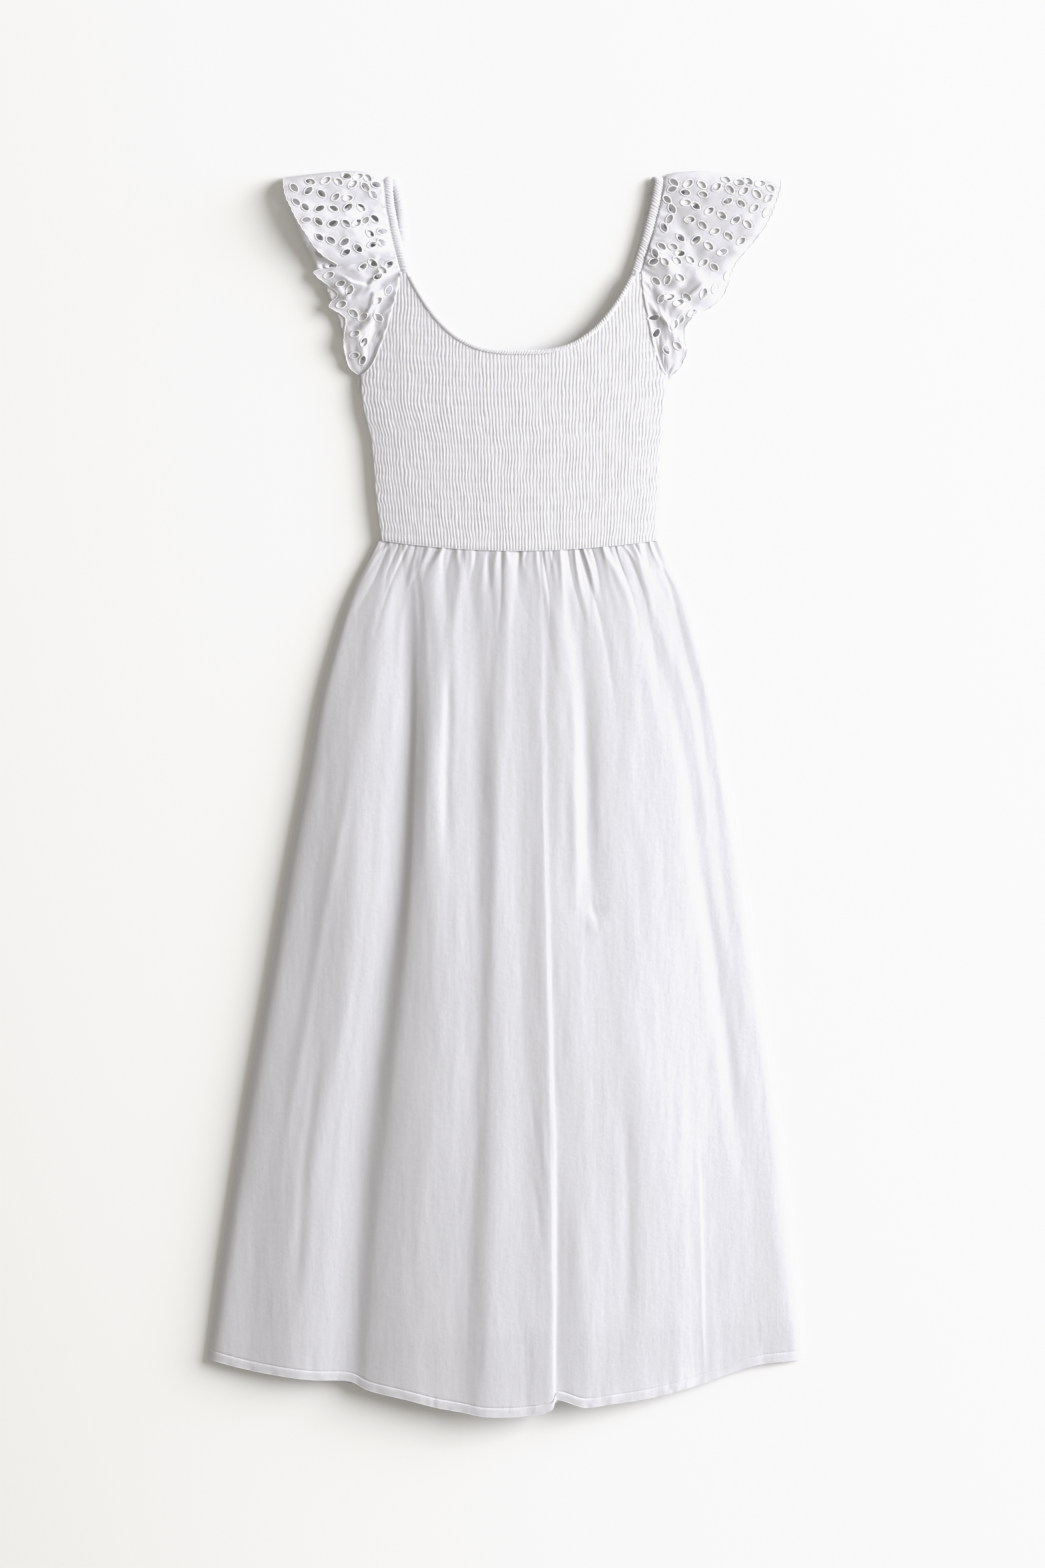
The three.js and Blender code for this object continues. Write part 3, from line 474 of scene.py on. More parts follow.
# Each crease: how far the cloth rises over its line, its width, whether the cloth only steps up on the line's
# left, and the line.
skirtCreases = [
    (1.0, 7, False, [(68, 110), (70, 0), (72, -80), (70, -114)]),
    (-0.35, 7, False, [(80, 110), (84, 20), (85, -75), (90, -130)]),
    (-1.1, 3.5, False, [(84, -119), (92, -124), (101, -121)]),
    (0.7, 5, False, [(80, -131), (92, -136), (104, -131)]),
    (-0.22, 3, False, [(24, -305), (28, -340), (30, -368)]),
    (0.25, 3.2, False, [(36, -322), (38, -360), (41, -396)]),
    (-0.22, 3, False, [(27, -396), (33, -430), (36, -462)]),
    (0.45, 9, True, [(203, -606), (201, -540), (199, -450), (196, -350)]),
    (0.26, 24, True, [(46.5, -640), (47, -430), (43, -217), (38, -5), (35, 147)]),
    (-1.0, 9, False, [(152, 160), (184, 27), (196, -75), (219, -211), (238, -380)]),
    (-0.7, 5, False, [(-58, 150), (-60, 60), (-62, -60)]),
    (0.5, 6, False, [(-150, 60), (-188, -140), (-228, -380)]),
    (-0.7, 6, False, [(-190, -260), (-206, -380), (-214, -520)]),
    (-0.6, 8, False, [(120, -300), (124, -420), (122, -560)]),
]
skirt = {
    "length": 860,
    "nearWaist": 75,  # the length of the finer rows under the waist
    "nearHem": [14, 11.5, 10.2, 9.6, 9.2, 8.8, 8.4, 7.6, 5, 2.5, 0.8, 0],  # the rows above the hem
    "columns": 408,
    "innerStep": 4,
    "thickness": 0.55,
    "gathers": {"count": 42, "seed": 5, "reach": 0.035, "height": 0.84},
    "longGathers": {"count": 17, "seed": 6, "reach": 0.1, "height": 0.9},
    "waistDip": 0.252,
    "wave": 0.4,
    "ripple": 0.12,
    "seamBlend": 0.08,  # the share of the length over which the skirt falls from the bodice's height
    "seamRise": (-0.6, 3.2),
    "flatSide": (3, 12),  # from each side, the width without relief and the width over which it grows
    "underBodice": 1.0,
    "underSeam": 1.4,
    "tuckedLow": 0.7,
    "hemBand": 9,
    "hemFold": 0.5,
    "hemLift": 0.35,
    "stitchDip": 0.45,
    "pucker": 0.28,
    "stitches": {"length": 2.4, "gap": 0.9, "radius": 0.2},
}


def skirtKnots(share):
    knots = []
    for _, across, heights, hem in skirtLines:
        x = along(skirtStations, across, share)
        knots.append(np.stack([x, mix(waistY(x), hem, share), along(skirtStations, heights, share)], -1))
    return np.stack(knots, 1)


gather = {"middle": (-0.6, 0.6), "width": (0.2, 0.34), "length": (0.4, 1), "lean": (-0.7, 0.7),
          "height": (0.5, 1.25), "sway": 0.25, "widening": 0.9}


# Uneven gathers that run down from a seam: each has its own place, width, length, height and lean.
def gatherField(across, share, count, seed, reach, height):
    random = np.random.default_rng(seed)
    total = np.zeros_like(across)
    for k in range(count):
        middle = (k + 0.5 + random.uniform(*gather["middle"])) / count
        width = random.uniform(*gather["width"]) / count
        length = reach * random.uniform(*gather["length"]) ** 2 * 2.6
        lean = random.uniform(*gather["lean"]) / count
        rise = height * random.uniform(*gather["height"])
        drift = lean * (share / length) + gather["sway"] / count * np.sin(3 * share / length + k)
        offset = (across - middle - drift) / (width * (1 + gather["widening"] * share / length))
        shape = np.exp(-offset ** 2) if k % 2 else -0.9 * np.exp(-np.abs(offset * 1.4) ** 1.2)
        total += rise * shape * np.exp(-(share / length) ** 1.3)
    return total


def skirtFront():
    length, fine = skirt["length"], skirt["nearWaist"]
    nearWaist = np.linspace(0, fine, 46) / length
    body = np.linspace(fine, length - skirt["nearHem"][0], 105)[1:-1] / length
    share = np.concatenate([nearWaist, body, 1 - np.array(skirt["nearHem"]) / length])
    knots = skirtKnots(share)
    seamTop = bodiceHeight(knots[0, :, 0], waistEnd + 0 * knots[0, :, 0]) - skirt["underBodice"]
    raised = np.clip(seamTop - knots[0, :, 2], *skirt["seamRise"])
    knots[..., 2] += raised * np.exp(-share[:, None] / skirt["seamBlend"])
    dense = np.linspace(0, knots.shape[1] - 1, 4001)
    sample = throughKnots(knots[::24], dense)
    run = np.linalg.norm(np.diff(sample, axis=1), axis=2).mean(0)
    run = np.concatenate([[0], np.cumsum(run)])
    even = np.linspace(0, run[-1], skirt["columns"] + 1)
    section = throughKnots(knots, np.interp(even, run, dense))
    slope = np.gradient(section, axis=1)
    normal = unit(np.stack([-slope[..., 2], np.zeros_like(slope[..., 0]), slope[..., 0]], -1))
    clothX = even[None, :] + 0 * share[:, None]
    across = (section[..., 0] - section[:, :1, 0]) / (section[:, -1:, 0] - section[:, :1, 0])
    down = share[:, None] + 0 * clothX
    flat, growing = skirt["flatSide"]
    inside = np.clip(np.minimum(clothX - flat, run[-1] - flat - clothX) / growing, 0, 1)
    lift = gatherField(across, down, **skirt["gathers"])
    lift += gatherField(across, down, **skirt["longGathers"])
    lift -= skirt["waistDip"] * np.exp(-down / 0.05)
    lift += skirt["wave"] * softNoise(clothX / 26, down * 7, 11) * np.clip(down * 8, 0, 1)
    lift += skirt["ripple"] * softNoise(clothX / 9, down * 16, 12)
    lift += creaseLift(section[..., 0], section[..., 1], skirtCreases)
    fromHem = (1 - down) * length
    lift += skirt["hemLift"] * np.clip((skirt["hemBand"] - fromHem) * 2, 0, 1)
    lift -= skirt["stitchDip"] * np.exp(-((fromHem - skirt["hemBand"]) / 0.6) ** 2)
    lift += skirt["pucker"] * softNoise(clothX / 4.5, fromHem / 9, 13) * np.exp(-fromHem / 12)
    outer = section + normal * (lift * inside)[..., None]
    under = skirt["thickness"] + skirt["hemFold"] * (fromHem < skirt["hemBand"])
    inner = outer - normal * under[..., None]
    for face in (outer, inner):
        face[0, :, 1] += skirt["underSeam"]
        face[0, :, 2] -= skirt["tuckedLow"]
    shell = closedSheet(outer, inner[:, ::skirt["innerStep"]])
    piece = newPiece("skirtFront", *shell, cottonSkirt, "cotton", ["skirt_front"])
    row = int(np.argmin(np.abs(fromHem[:, 0] - skirt["hemBand"])))
    newPiece("hemStitches", *stitchRow(outer[row], normal[row], skirt["stitches"]), thread, "cotton")


def panelEdge(line, inwards, share):
    _, across, _, hem = line
    x = along(skirtStations, across, share) + inwards
    return x, mix(waistY(x) - seam / 2, hem, share)


backSkirt = {"lift": 6, "sag": 46, "waistSag": 8, "inside": 0.6, "thickness": 0.6, "rows": 90, "columns": 64,
             "wave": 0.5}


# The back panel lies on the surface, flat underneath, with low waves on its upper face.
def skirtBack():
    share = np.linspace(0, 1, backSkirt["rows"] + 1)[:, None]
    across = np.linspace(0, 1, backSkirt["columns"] + 1)[None, :]
    leftX, leftY = panelEdge(skirtLines[1], backSkirt["inside"], share)
    rightX, rightY = panelEdge(skirtLines[-2], -backSkirt["inside"], share)
    x = mix(leftX, rightX, across)
    bow = np.sin(np.pi * across)
    y = mix(leftY, rightY, across) - backSkirt["sag"] * share ** 6 * bow
    y = y - backSkirt["waistSag"] * (1 - share) ** 6 * bow + backSkirt["lift"] * share ** 6
    wave = 0.5 + 0.5 * softNoise(across * 14, share * 6, 21)
    edge = np.clip(np.minimum(across, 1 - across) * 30, 0, 1)
    top = backSkirt["thickness"] + backSkirt["wave"] * wave * edge
    outer = np.stack([x, y, top + 0 * x], -1)
    inner = np.stack([x, y, 0 * x], -1)
    shell = closedSheet(outer, inner[:, ::4])
    piece = newPiece("skirtBack", *shell, cottonSkirt, "cotton", ["skirt_back"])


slip = {"top": 238, "waist": (-118, 142), "hem": (-222, 206), "hemY": -545, "sag": 12, "low": 1.6,
        "thickness": 0.35}


def skirtLining():
    share = np.linspace(0, 1, 61)[:, None]
    across = np.linspace(0, 1, 49)[None, :]
    left, right = (mix(slip["waist"][k], slip["hem"][k], share) for k in (0, 1))
    x = mix(left, right, across)
    y = mix(slip["top"], slip["hemY"], share) - slip["sag"] * share * np.sin(np.pi * across)
    wave = slip["thickness"] * (1 + softNoise(across * 11 + 3, share * 5, 31))
    outer = np.stack([x, y, slip["low"] + slip["thickness"] + wave], -1)
    inner = np.stack([x, y, slip["low"] + wave * 0.4], -1)
    shell = closedSheet(outer, inner[:, ::2])
    piece = newPiece("skirtLining", *shell, slipCotton, "slip_cotton", ["skirt_lining"])


# The bodice: its outline, and the shirring that raises it in ribs

bodice = {
    "stations": [0, 45, 100, 145, 172],
    "left": [-126.5, -132.5, -137, -146.5, -148],
    "right": [151.6, 154.5, 157, 161, 163],
    "middleHeight": 12.4, "dome": 4.4, "sideRoll": 0.8,
    "ribs": 88, "ribPoints": 6, "elasticPitch": 9.7, "strips": 27, "rowsPerStrip": 5,
    "ribHeight": 0.6, "wall": 0.7, "sideColumns": 6, "sideLow": 1.4, "sideBulge": 0.9,
    "edgeDrop": 0.7, "edgeWidth": 1.3, "backHeight": 2.0, "backRib": 0.25, "backShare": 0.9975,
}
waistEnd = waist["lowest"] + waist["rise"]
neck = {"middle": 15, "halfWidth": 112, "lowest": 449.5, "depth": 78, "power": 2.9, "band": 4.6,
        "bandThick": 2.3}
strapBase = {"y": 529.5, "leftOuter": -107.5, "leftInner": -97, "rightInner": 126.5, "rightOuter": 136.5}
armhole = {"underarm": 426, "power": 1.7}


def bodiceLeft(y):
    return along(bodice["stations"], bodice["left"], y - waistEnd)


def bodiceRight(y):
    return along(bodice["stations"], bodice["right"], y - waistEnd)


def neckY(x):
    return neck["lowest"] + neck["depth"] * np.abs((x - neck["middle"]) / neck["halfWidth"]) ** neck["power"]


def bodiceTop(x, band):
    rise = strapBase["y"] - armhole["underarm"]
    outside = lambda edge, side: (armhole["underarm"]
                                  + rise * np.clip((x - side) / (edge - side), 0, 1) ** armhole["power"])
    slope = neckY(x + 0.5) - neckY(x - 0.5)
    inside = np.minimum(strapBase["y"], neckY(x) - band * np.hypot(1, slope) * 0.97)
    left = outside(strapBase["leftOuter"], bodice["left"][-1])
    right = outside(strapBase["rightOuter"], bodice["right"][-1])
    return np.where(x < strapBase["leftOuter"], left, np.where(x > strapBase["rightOuter"], right, inside))


def bodiceHeight(x, y):
    left, right = bodiceLeft(y), bodiceRight(y)
    fromMiddle = np.clip((2 * x - left - right) / (right - left), -1, 1)
    return bodice["middleHeight"] - bodice["dome"] * fromMiddle ** 2 - bodice["sideRoll"] * fromMiddle ** 10


# How the ribs vary, sideways in ribs and upwards in shares of their height
ribLook = {"shift": 0.2, "wander": 0.35, "sideLean": 0.3, "sideReach": 16, "waver": 0.16, "pinch": 0.5,
           "uneven": 0.28, "elasticDip": 0.12, "elasticWidth": 0.08}


# The height of the shirring: ribs that wander sideways, break at each row of elastic and lean near the sides.
def shirring(across, x, y):
    rows = (y - waistY(x)) / bodice["elasticPitch"]
    strip = np.floor(rows)
    part = rows - strip
    rib = across * bodice["ribs"]
    shift = lambda k: ribLook["shift"] * softNoise(rib * 0.55, k * 3.7 + 0.5, 41)
    inside = np.maximum(0, np.minimum(x - bodiceLeft(y), bodiceRight(y) - x))
    sideLean = ribLook["sideLean"] * np.exp(-inside / ribLook["sideReach"])
    phase = rib + mix(shift(strip), shift(strip + 1), ease(part))
    phase += ribLook["wander"] * softNoise(across * 13, rows * 0.4, 42) + sideLean * np.sin(np.pi * rows)
    phase += ribLook["waver"] * np.sin(np.pi * part) * softNoise(rib * 0.8, strip * 2.3, 43)
    ridge = np.abs(np.sin(np.pi * phase)) ** 0.9
    puff = mix(1, np.sin(np.pi * part) ** 0.7, ribLook["pinch"])
    uneven = mix(1, softNoise(rib * 0.5 + 9, rows * 1.1, 44), ribLook["uneven"])
    fromElastic = np.minimum(part, 1 - part) / ribLook["elasticWidth"]
    return bodice["ribHeight"] * ridge * puff * uneven - ribLook["elasticDip"] * np.exp(-fromElastic ** 2)


def bodiceGrid(columns, rows):
    across = np.linspace(0, 1, columns + 1)[None, :]
    up = np.linspace(0, 1, rows + 1)[:, None]
    topX = mix(bodice["left"][-1], bodice["right"][-1], across)
    lowX = mix(bodice["left"][0], bodice["right"][0], across)
    top = bodiceTop(topX, neck["band"] - 0.9)
    y = mix(waistY(lowX) + seam / 2, top, up)
    x = mix(bodiceLeft(y), bodiceRight(y), across)
    return across + 0 * x, x, y


# Adds columns to both sides of a panel, where the cloth turns down to the surface.
def turnedSides(outer, inner):
    t = (np.arange(bodice["sideColumns"]) + 1) / bodice["sideColumns"]
    low, bulge = bodice["sideLow"], bodice["sideBulge"]
    for side, out in ((0, -1), (-1, 1)):
        edge, under = outer[:, side], inner[:, side].copy()
        down = np.maximum(edge[:, 2:] - low, 0) * (1 - np.cos(np.pi / 2 * t))
        turned = np.stack([edge[:, :1] + out * bulge * np.sin(np.pi * 0.85 * t), edge[:, 1:2] + 0 * t,
                           edge[:, 2:] - down], -1)
        under[:, 0] -= out * seam
        under[:, 2] = low
        if out < 0:
            outer = np.concatenate([turned[:, ::-1], outer], 1)
            inner = np.concatenate([under[:, None], inner], 1)
        else:
            outer = np.concatenate([outer, turned], 1)
            inner = np.concatenate([inner, under[:, None]], 1)
    return outer, inner


def bodiceFront():
    across, x, y = bodiceGrid(bodice["ribs"] * bodice["ribPoints"], bodice["strips"] * bodice["rowsPerStrip"])
    fromWaist = (y - waistY(x)) / bodice["edgeWidth"]
    z = bodiceHeight(x, y) - bodice["edgeDrop"] * np.exp(-fromWaist ** 2)
    outer = np.stack([x, y, z + shirring(across, x, y)], -1)
    inner = np.stack([x, y, z - bodice["wall"]], -1)[:, ::bodice["ribPoints"]]
    shell = closedSheet(*turnedSides(outer, inner))
    piece = newPiece("bodiceFront", *shell, cottonShirred, "shirred_cotton", ["bodice_front"])


def bodiceBack():
    across, x, y = bodiceGrid(bodice["ribs"] * 3, bodice["strips"] * 2)
    x = neck["middle"] + (x - neck["middle"]) * bodice["backShare"]
    ridge = bodice["backRib"] * (1 - np.cos(2 * np.pi * bodice["ribs"] * across))
    outer = np.stack([x, y, bodice["backHeight"] + ridge], -1)
    inner = np.stack([x, y, 0 * x], -1)
    shell = closedSheet(outer, inner[:, ::3])
    piece = newPiece("bodiceBack", *shell, cottonShirred, "shirred_cotton", ["bodice_back"])


# The gathered elastic bands: the neckline's and the straps

def neckLine(count):
    x = np.linspace(strapBase["leftInner"] + 0.6, strapBase["rightInner"] + 0.4, 2001)
    y = neckY(x)
    run = runAlong(np.stack([x, y], -1))
    even = np.linspace(0, run[-1], count + 1)
    line = np.stack([np.interp(even, run, x), np.interp(even, run, y)], -1)
    ahead = unit(np.gradient(line, axis=0))
    return even, line, np.stack([ahead[:, 1], -ahead[:, 0]], -1)


casing = {"sides": 14, "squareness": 0.3, "slant": 0.45, "slantSpread": 0.8, "wander": 0.5, "uneven": 0.3,
          "edgeDraw": 0.4}


# Rings of a flat gathered casing: its puckers run across it at a slant, and are pinched at its edges.
def casingRings(run, centres, sideways, upwards, pitch, draw, seed):
    turn = 2 * np.pi * (np.arange(casing["sides"]) + 0.5) / casing["sides"]
    squarer = 1 / np.maximum(np.abs(np.cos(turn)), np.abs(np.sin(turn))) ** casing["squareness"]
    noise = lambda reach, row: softNoise(run / reach, run * 0 + row, seed)[:, None]
    edge = np.cos(turn)[None, :]
    slant = casing["slant"] * edge * (1 + casing["slantSpread"] * noise(17, 0))
    phase = run[:, None] / pitch + slant + casing["wander"] * noise(6, 4)
    uneven = mix(1, noise(pitch, 8), casing["uneven"])
    swell = 1 - draw * uneven * (1 - np.abs(np.sin(np.pi * phase)) ** 0.8)
    side = edge * squarer * mix(1, swell, casing["edgeDraw"])
    up = np.sin(turn)[None, :] * squarer * swell
    return centres[:, None] + sideways[:, None] * side[..., None] + upwards[:, None] * up[..., None]


def neckBand(run):
    look = neckRuns[run]
    places, line, inward = neckLine(look["rings"])
    centre = line + inward * neck["band"] / 2
    x, y = centre[:, 0], np.minimum(centre[:, 1], strapBase["y"])
    z = bodiceHeight(x, y) + look["overBodice"] if run == "front" else look["height"] + 0 * x
    centres = np.column_stack([centre, z])
    sideways = np.column_stack([inward * (neck["band"] / 2 + 0.2), 0 * z])
    upwards = np.column_stack([0 * z, 0 * z, 0 * z + neck["bandThick"] / 2])
    rings = casingRings(places, centres, sideways, upwards, look["pitch"], look["draw"], 51)
    name = "neckBand" + run.capitalize()
    newPiece(name, *tubeThrough(rings), cottonShirred, "shirred_cotton", ["neck_band_" + run])


neckRuns = {
    "front": {"overBodice": 0.2, "pitch": 2.7, "draw": 0.6, "rings": 640},
    "back": {"height": 1.3, "pitch": 3.3, "draw": 0.2, "rings": 300},
}
strap = {
    "width": 10, "thick": 3, "spareWidth": 0.3, "spareThick": 0.1,  # the spares are room for its puckers
    "frontZ": 6, "backZ": 1.6, "foldY": 628, "top": 622, "foot": 526.5, "footRise": 1.7, "footReach": 9,
    "pitch": 2.8, "draw": 0.75,
    "stitches": {"length": 2.0, "gap": 0.8, "radius": 0.24},
}
strapHalf = {"width": strap["width"] / 2 - strap["spareWidth"],
             "thick": strap["thick"] / 2 - strap["spareThick"]}
strapStations = [530, 545, 563, 584, 605, 622]
strapRuns = {
    "left": {"front": [-102.2, -106.5, -111.5, -116, -119.4, -120.5],
             "back": [-102.2, -104.2, -105.5, -107, -109.5, -114]},
    "right": {"front": [131.8, 136.5, 142, 147.5, 152.5, 155.4],
              "back": [131.8, 135, 140, 144, 147.5, 151]},
}


def strapX(side, run, y):
    return along(strapStations, strapRuns[side][run], y)


def strapRun(side, run, count, height):
    y = np.linspace(strap["foot"], strap["top"], count + 1)
    lean = (strapX(side, run, y + 1) - strapX(side, run, y - 1)) / 2
    rise = strap["footRise"] * np.exp(-(y - strap["foot"]) / strap["footReach"]) * (run == "front")
    centres = np.column_stack([strapX(side, run, y), y, height + rise])
    sideways = unit(np.column_stack([1 + 0 * y, -lean, 0 * y])) * strapHalf["width"]
    upwards = np.column_stack([0 * y, 0 * y, 0 * y + strapHalf["thick"]])
    return centres, sideways, upwards


def shoulderStrap(side):
    front = strapRun(side, "front", 230, strap["frontZ"])
    back = [part[::-1] for part in strapRun(side, "back", 180, strap["backZ"])]
    top, under = front[0][-1], back[0][0]
    angle = np.pi * (np.arange(11) + 1) / 12
    fold = mix(top, under, (1 - np.cos(angle[:, None])) / 2)
    fold[:, 1] += (strap["foldY"] - strap["thick"] / 2 - top[1]) * np.sin(angle)
    foldSide = np.column_stack([0 * angle + strapHalf["width"], 0 * angle, 0 * angle])
    foldUp = np.column_stack([0 * angle, np.sin(angle), np.cos(angle)]) * strapHalf["thick"]
    centres = np.concatenate([front[0], fold, back[0]])
    sideways = np.concatenate([front[1], foldSide, back[1]])
    upwards = np.concatenate([front[2], foldUp, -back[2]])
    run = runAlong(centres)
    rings = casingRings(run, centres, sideways, upwards, strap["pitch"], strap["draw"], 61 + (side == "left"))
    title = "strap" + side.capitalize()
    newPiece(title, *tubeThrough(rings), cottonShirred, "shirred_cotton", ["strap_" + side])
    out = -1 if side == "left" else 1
    seamLine = front[0] + front[1] * out * 0.86 + front[2] * 0.62
    newPiece(title + "Stitches", *stitchRow(seamLine, front[2], strap["stitches"]), thread, "shirred_cotton")


# The flutter sleeves: eyelet cloth gathered along the strap and the armhole.
# Each list runs from the shoulder fold down to the underarm.

frillSeamY = [627.5, 623, 612, 601, 589, 578, 567, 557, 549, 541, 533, 525, 515, 503, 489, 473, 453, 438,
              426.5]
flutter = {
    "left": {
        "edgeX": [-228, -227.8, -226, -220.5, -212.5, -202.5, -191, -180, -173, -197, -181, -172.5, -181,
                  -164, -166, -164, -157, -153.5, -151],
        "edgeY": [626.5, 621, 609, 596, 580, 565, 549, 541, 536, 530, 515, 506, 495, 481, 461, 444, 429.5,
                  427, 425.5],
        "seamZ": [2.4, 6, 7.6, 7, 7.6, 7, 7.6, 8, 7, 7, 8, 7.4, 8, 7.4, 8, 7.4, 6.6, 6, 5.6],
        "midZ": [2.4, 8.5, 12, 11, 13, 12, 14, 14.5, 8.5, 8, 11.5, 7.4, 11, 7.4, 10.5, 8.4, 7, 6, 5.2],
        "edgeZ": [2.4, 9, 13, 14.5, 15.5, 16, 16.5, 15.5, 9, 7.5, 10, 6.6, 9.5, 6.4, 8.4, 6.4, 5.4, 5,
                  4.8],
        "clothWidth": 106,
    },
    "right": {
        "edgeX": [280, 280.5, 278, 274, 268, 257, 243, 232, 226, 214, 200, 188, 181.5, 183.5, 180.5, 174,
                  168, 166.8, 165.6],
        "edgeY": [626, 620, 609, 597, 583, 566, 549, 534, 516, 498, 489, 481, 465, 450, 439, 429, 424,
                  421, 419],
        "seamZ": [2.4, 5.6, 6.6, 6.4, 6.8, 6.4, 6.8, 6.6, 7.2, 7.6, 7.2, 7.6, 7.2, 7.6, 7.2, 7.2, 6.6, 6,
                  5.6],
        "midZ": [2.4, 6.8, 8.2, 8, 8.4, 7.8, 8.6, 7.8, 8.4, 9.4, 7.8, 9.2, 7.6, 8.8, 7.8, 7.8, 6.8, 6,
                 5.2],
        "edgeZ": [2.4, 6, 7.4, 7.6, 7.8, 7.6, 7.8, 7.6, 8, 7.6, 6.4, 7.4, 6.4, 7.2, 6.4, 6, 5.4, 5, 4.8],
        "clothWidth": 118,
    },
}
shoulderBow = {"rise": 6.5, "reach": 0.05, "lean": 0.6}
eyelet = {"length": 9.8, "width": 6.2, "points": 16, "apart": 0.5, "edgeKept": 1.3, "rim": 0.75,
          "rimShare": 1.12, "rimRise": 0.05, "rimHeight": 0.5, "edgeCord": 0.55, "cloth": 0.5, "grid": 2.4,
          "scallop": 1.3, "scallopPitch": 6.4}
frill = {
    "tuckHeight": 0.8, "tuckReach": 12, "tuckPitch": 2.3,
    "crumple": 0.8, "fineCrumple": 0.4, "edgeWave": 0.5,
    "overBodice": 0.8, "ontoBodice": 2.2,  # how far the seam lies above the bodice and reaches over its side
    "overReach": 9, "ontoReach": 3, "edgeReach": 7, "edgeInside": 0.4,
}
# Each eyelet's middle and the turn of its leaf in degrees, as the sleeves lie.
eyelets = {
    "left": [
        (-184.2, 623, 36), (-171.2, 621.6, -42), (-156.6, 619.1, 36), (-143.8, 616.5, -42),
        (-135.6, 608.5, -42), (-216.2, 615, -42), (-201.7, 612.1, 36), (-188.2, 609.2, -42),
        (-174.1, 605.9, 36), (-161.7, 604.9, 3), (-204.9, 595.4, -42), (-190.1, 594, 18),
        (-176.2, 594, -18), (-161.3, 595.4, 36), (-147.9, 595.4, -42), (-191.1, 580.5, -42),
        (-176.5, 578.4, 18), (-163.2, 578.4, -42), (-152.3, 579.4, 36), (-143.8, 582.3, 36),
        (-134.1, 584.1, -42), (-190.3, 564.5, -42), (-178.7, 561.3, -42), (-164.9, 559.5, 36),
        (-151.1, 553.3, -42), (-136.7, 557.2, 18), (-138.8, 568.8, -42), (-126.6, 571.2, 3),
        (-126.8, 559.5, -42), (-163.2, 548.9, 36), (-146.5, 535.1, 36), (-136.3, 539, -42),
        (-119.6, 537.3, 36), (-126.1, 531.5, -42), (-130.9, 525.2, 36), (-169, 517.7, 18),
        (-159.5, 511.2, 64), (-168.3, 496.6, 18), (-155.9, 487.9, -42), (-154.2, 466.8, 18),
        (-145, 458.1, 64), (-155.2, 445, 3), (-120.3, 511.2, 64), (-131.2, 500.3, 36), (-116.7, 500.3, -42),
        (-130.5, 483.5, -42), (-128.3, 470.5, 36), (-192.2, 628.1, -18), (-178.1, 627.4, 18),
        (-163.2, 627.8, -18), (-199.9, 621.6, -18), (-214, 600.5, -42), (-203.5, 582, 3), (-219, 627, 18),
        (-141.5, 626, -42), (-151.5, 627.5, 18), (-146.5, 484, 36), (-146.5, 440, 64), (-181, 526.5, 18),
        (-170.5, 545.5, 36), (-129, 604, 64), (-133, 619, -18),
    ],
    "right": [
        (184.9, 620.1, 36), (198.9, 618.8, -42), (213.8, 616.5, 36), (227.2, 614.2, -42),
        (241.6, 612.4, 36), (255, 609.3, -42), (267.3, 605, 36), (224.9, 602.2, 18), (238.8, 599.6, -42),
        (252.3, 595, 36), (264.7, 590.3, 64), (192.6, 597.3, -42), (206.5, 592.2, 36), (219.2, 587.7, -42),
        (233.4, 582.9, 36), (245.4, 578.5, -42), (257.3, 573.4, 18), (186.4, 583.4, 3), (199.5, 577.6, -42),
        (212.3, 571.5, 18), (226, 566.5, -42), (238.8, 561.4, 36), (193.1, 562.6, 36), (206, 556.5, -42),
        (219.5, 550.3, 18), (187.2, 542.6, -42), (200.6, 539.5, 36), (211.4, 534.9, -42),
        (149.5, 540.3, 18), (161.3, 540.3, -42), (173.8, 541.5, -42), (143.3, 521.8, -42),
        (163.6, 521.8, 64), (176.7, 524.1, -42), (144.9, 503.3, -42), (157.2, 502.6, 64),
        (165.6, 504.1, 18), (183.4, 504.1, -42), (200.6, 508, 64), (177.2, 481.8, 64), (171, 476.4, 64),
        (164.9, 471, 18), (152.6, 467.9, 64), (174.1, 454.8, -42), (141, 466.4, 18), (152.6, 445.6, -18),
        (177.2, 564.9, -42), (169.5, 555.7, -18), (223.4, 624.2, -18), (237.2, 621.1, -18),
        (170.5, 621.5, -42), (168.5, 614.5, 18), (163.5, 604, -42), (168.5, 594.5, -64), (166, 584, 64),
        (160, 575.5, -60), (152, 565, 36), (158, 556, -42), (182.5, 567, -64), (188, 630, 18),
        (176, 629, -18), (246.5, 622.5, -42), (258.5, 620, 3), (231, 628, 3), (200, 609, -18),
        (182.5, 600.8, 3), (182, 611, -18), (151, 549, -60), (176.5, 549, 3), (212.5, 513, 64),
        (214.5, 501, 36), (190.5, 504, -42), (175, 498.5, 18), (152, 520.5, -48), (162.5, 450.5, -64),
        (150.5, 483.5, 18), (269, 615.5, -42), (262, 580.5, 36), (141.5, 531.5, -64), (225, 526, 64),
        (217, 577, -42), (189, 488, 36),
    ],
}
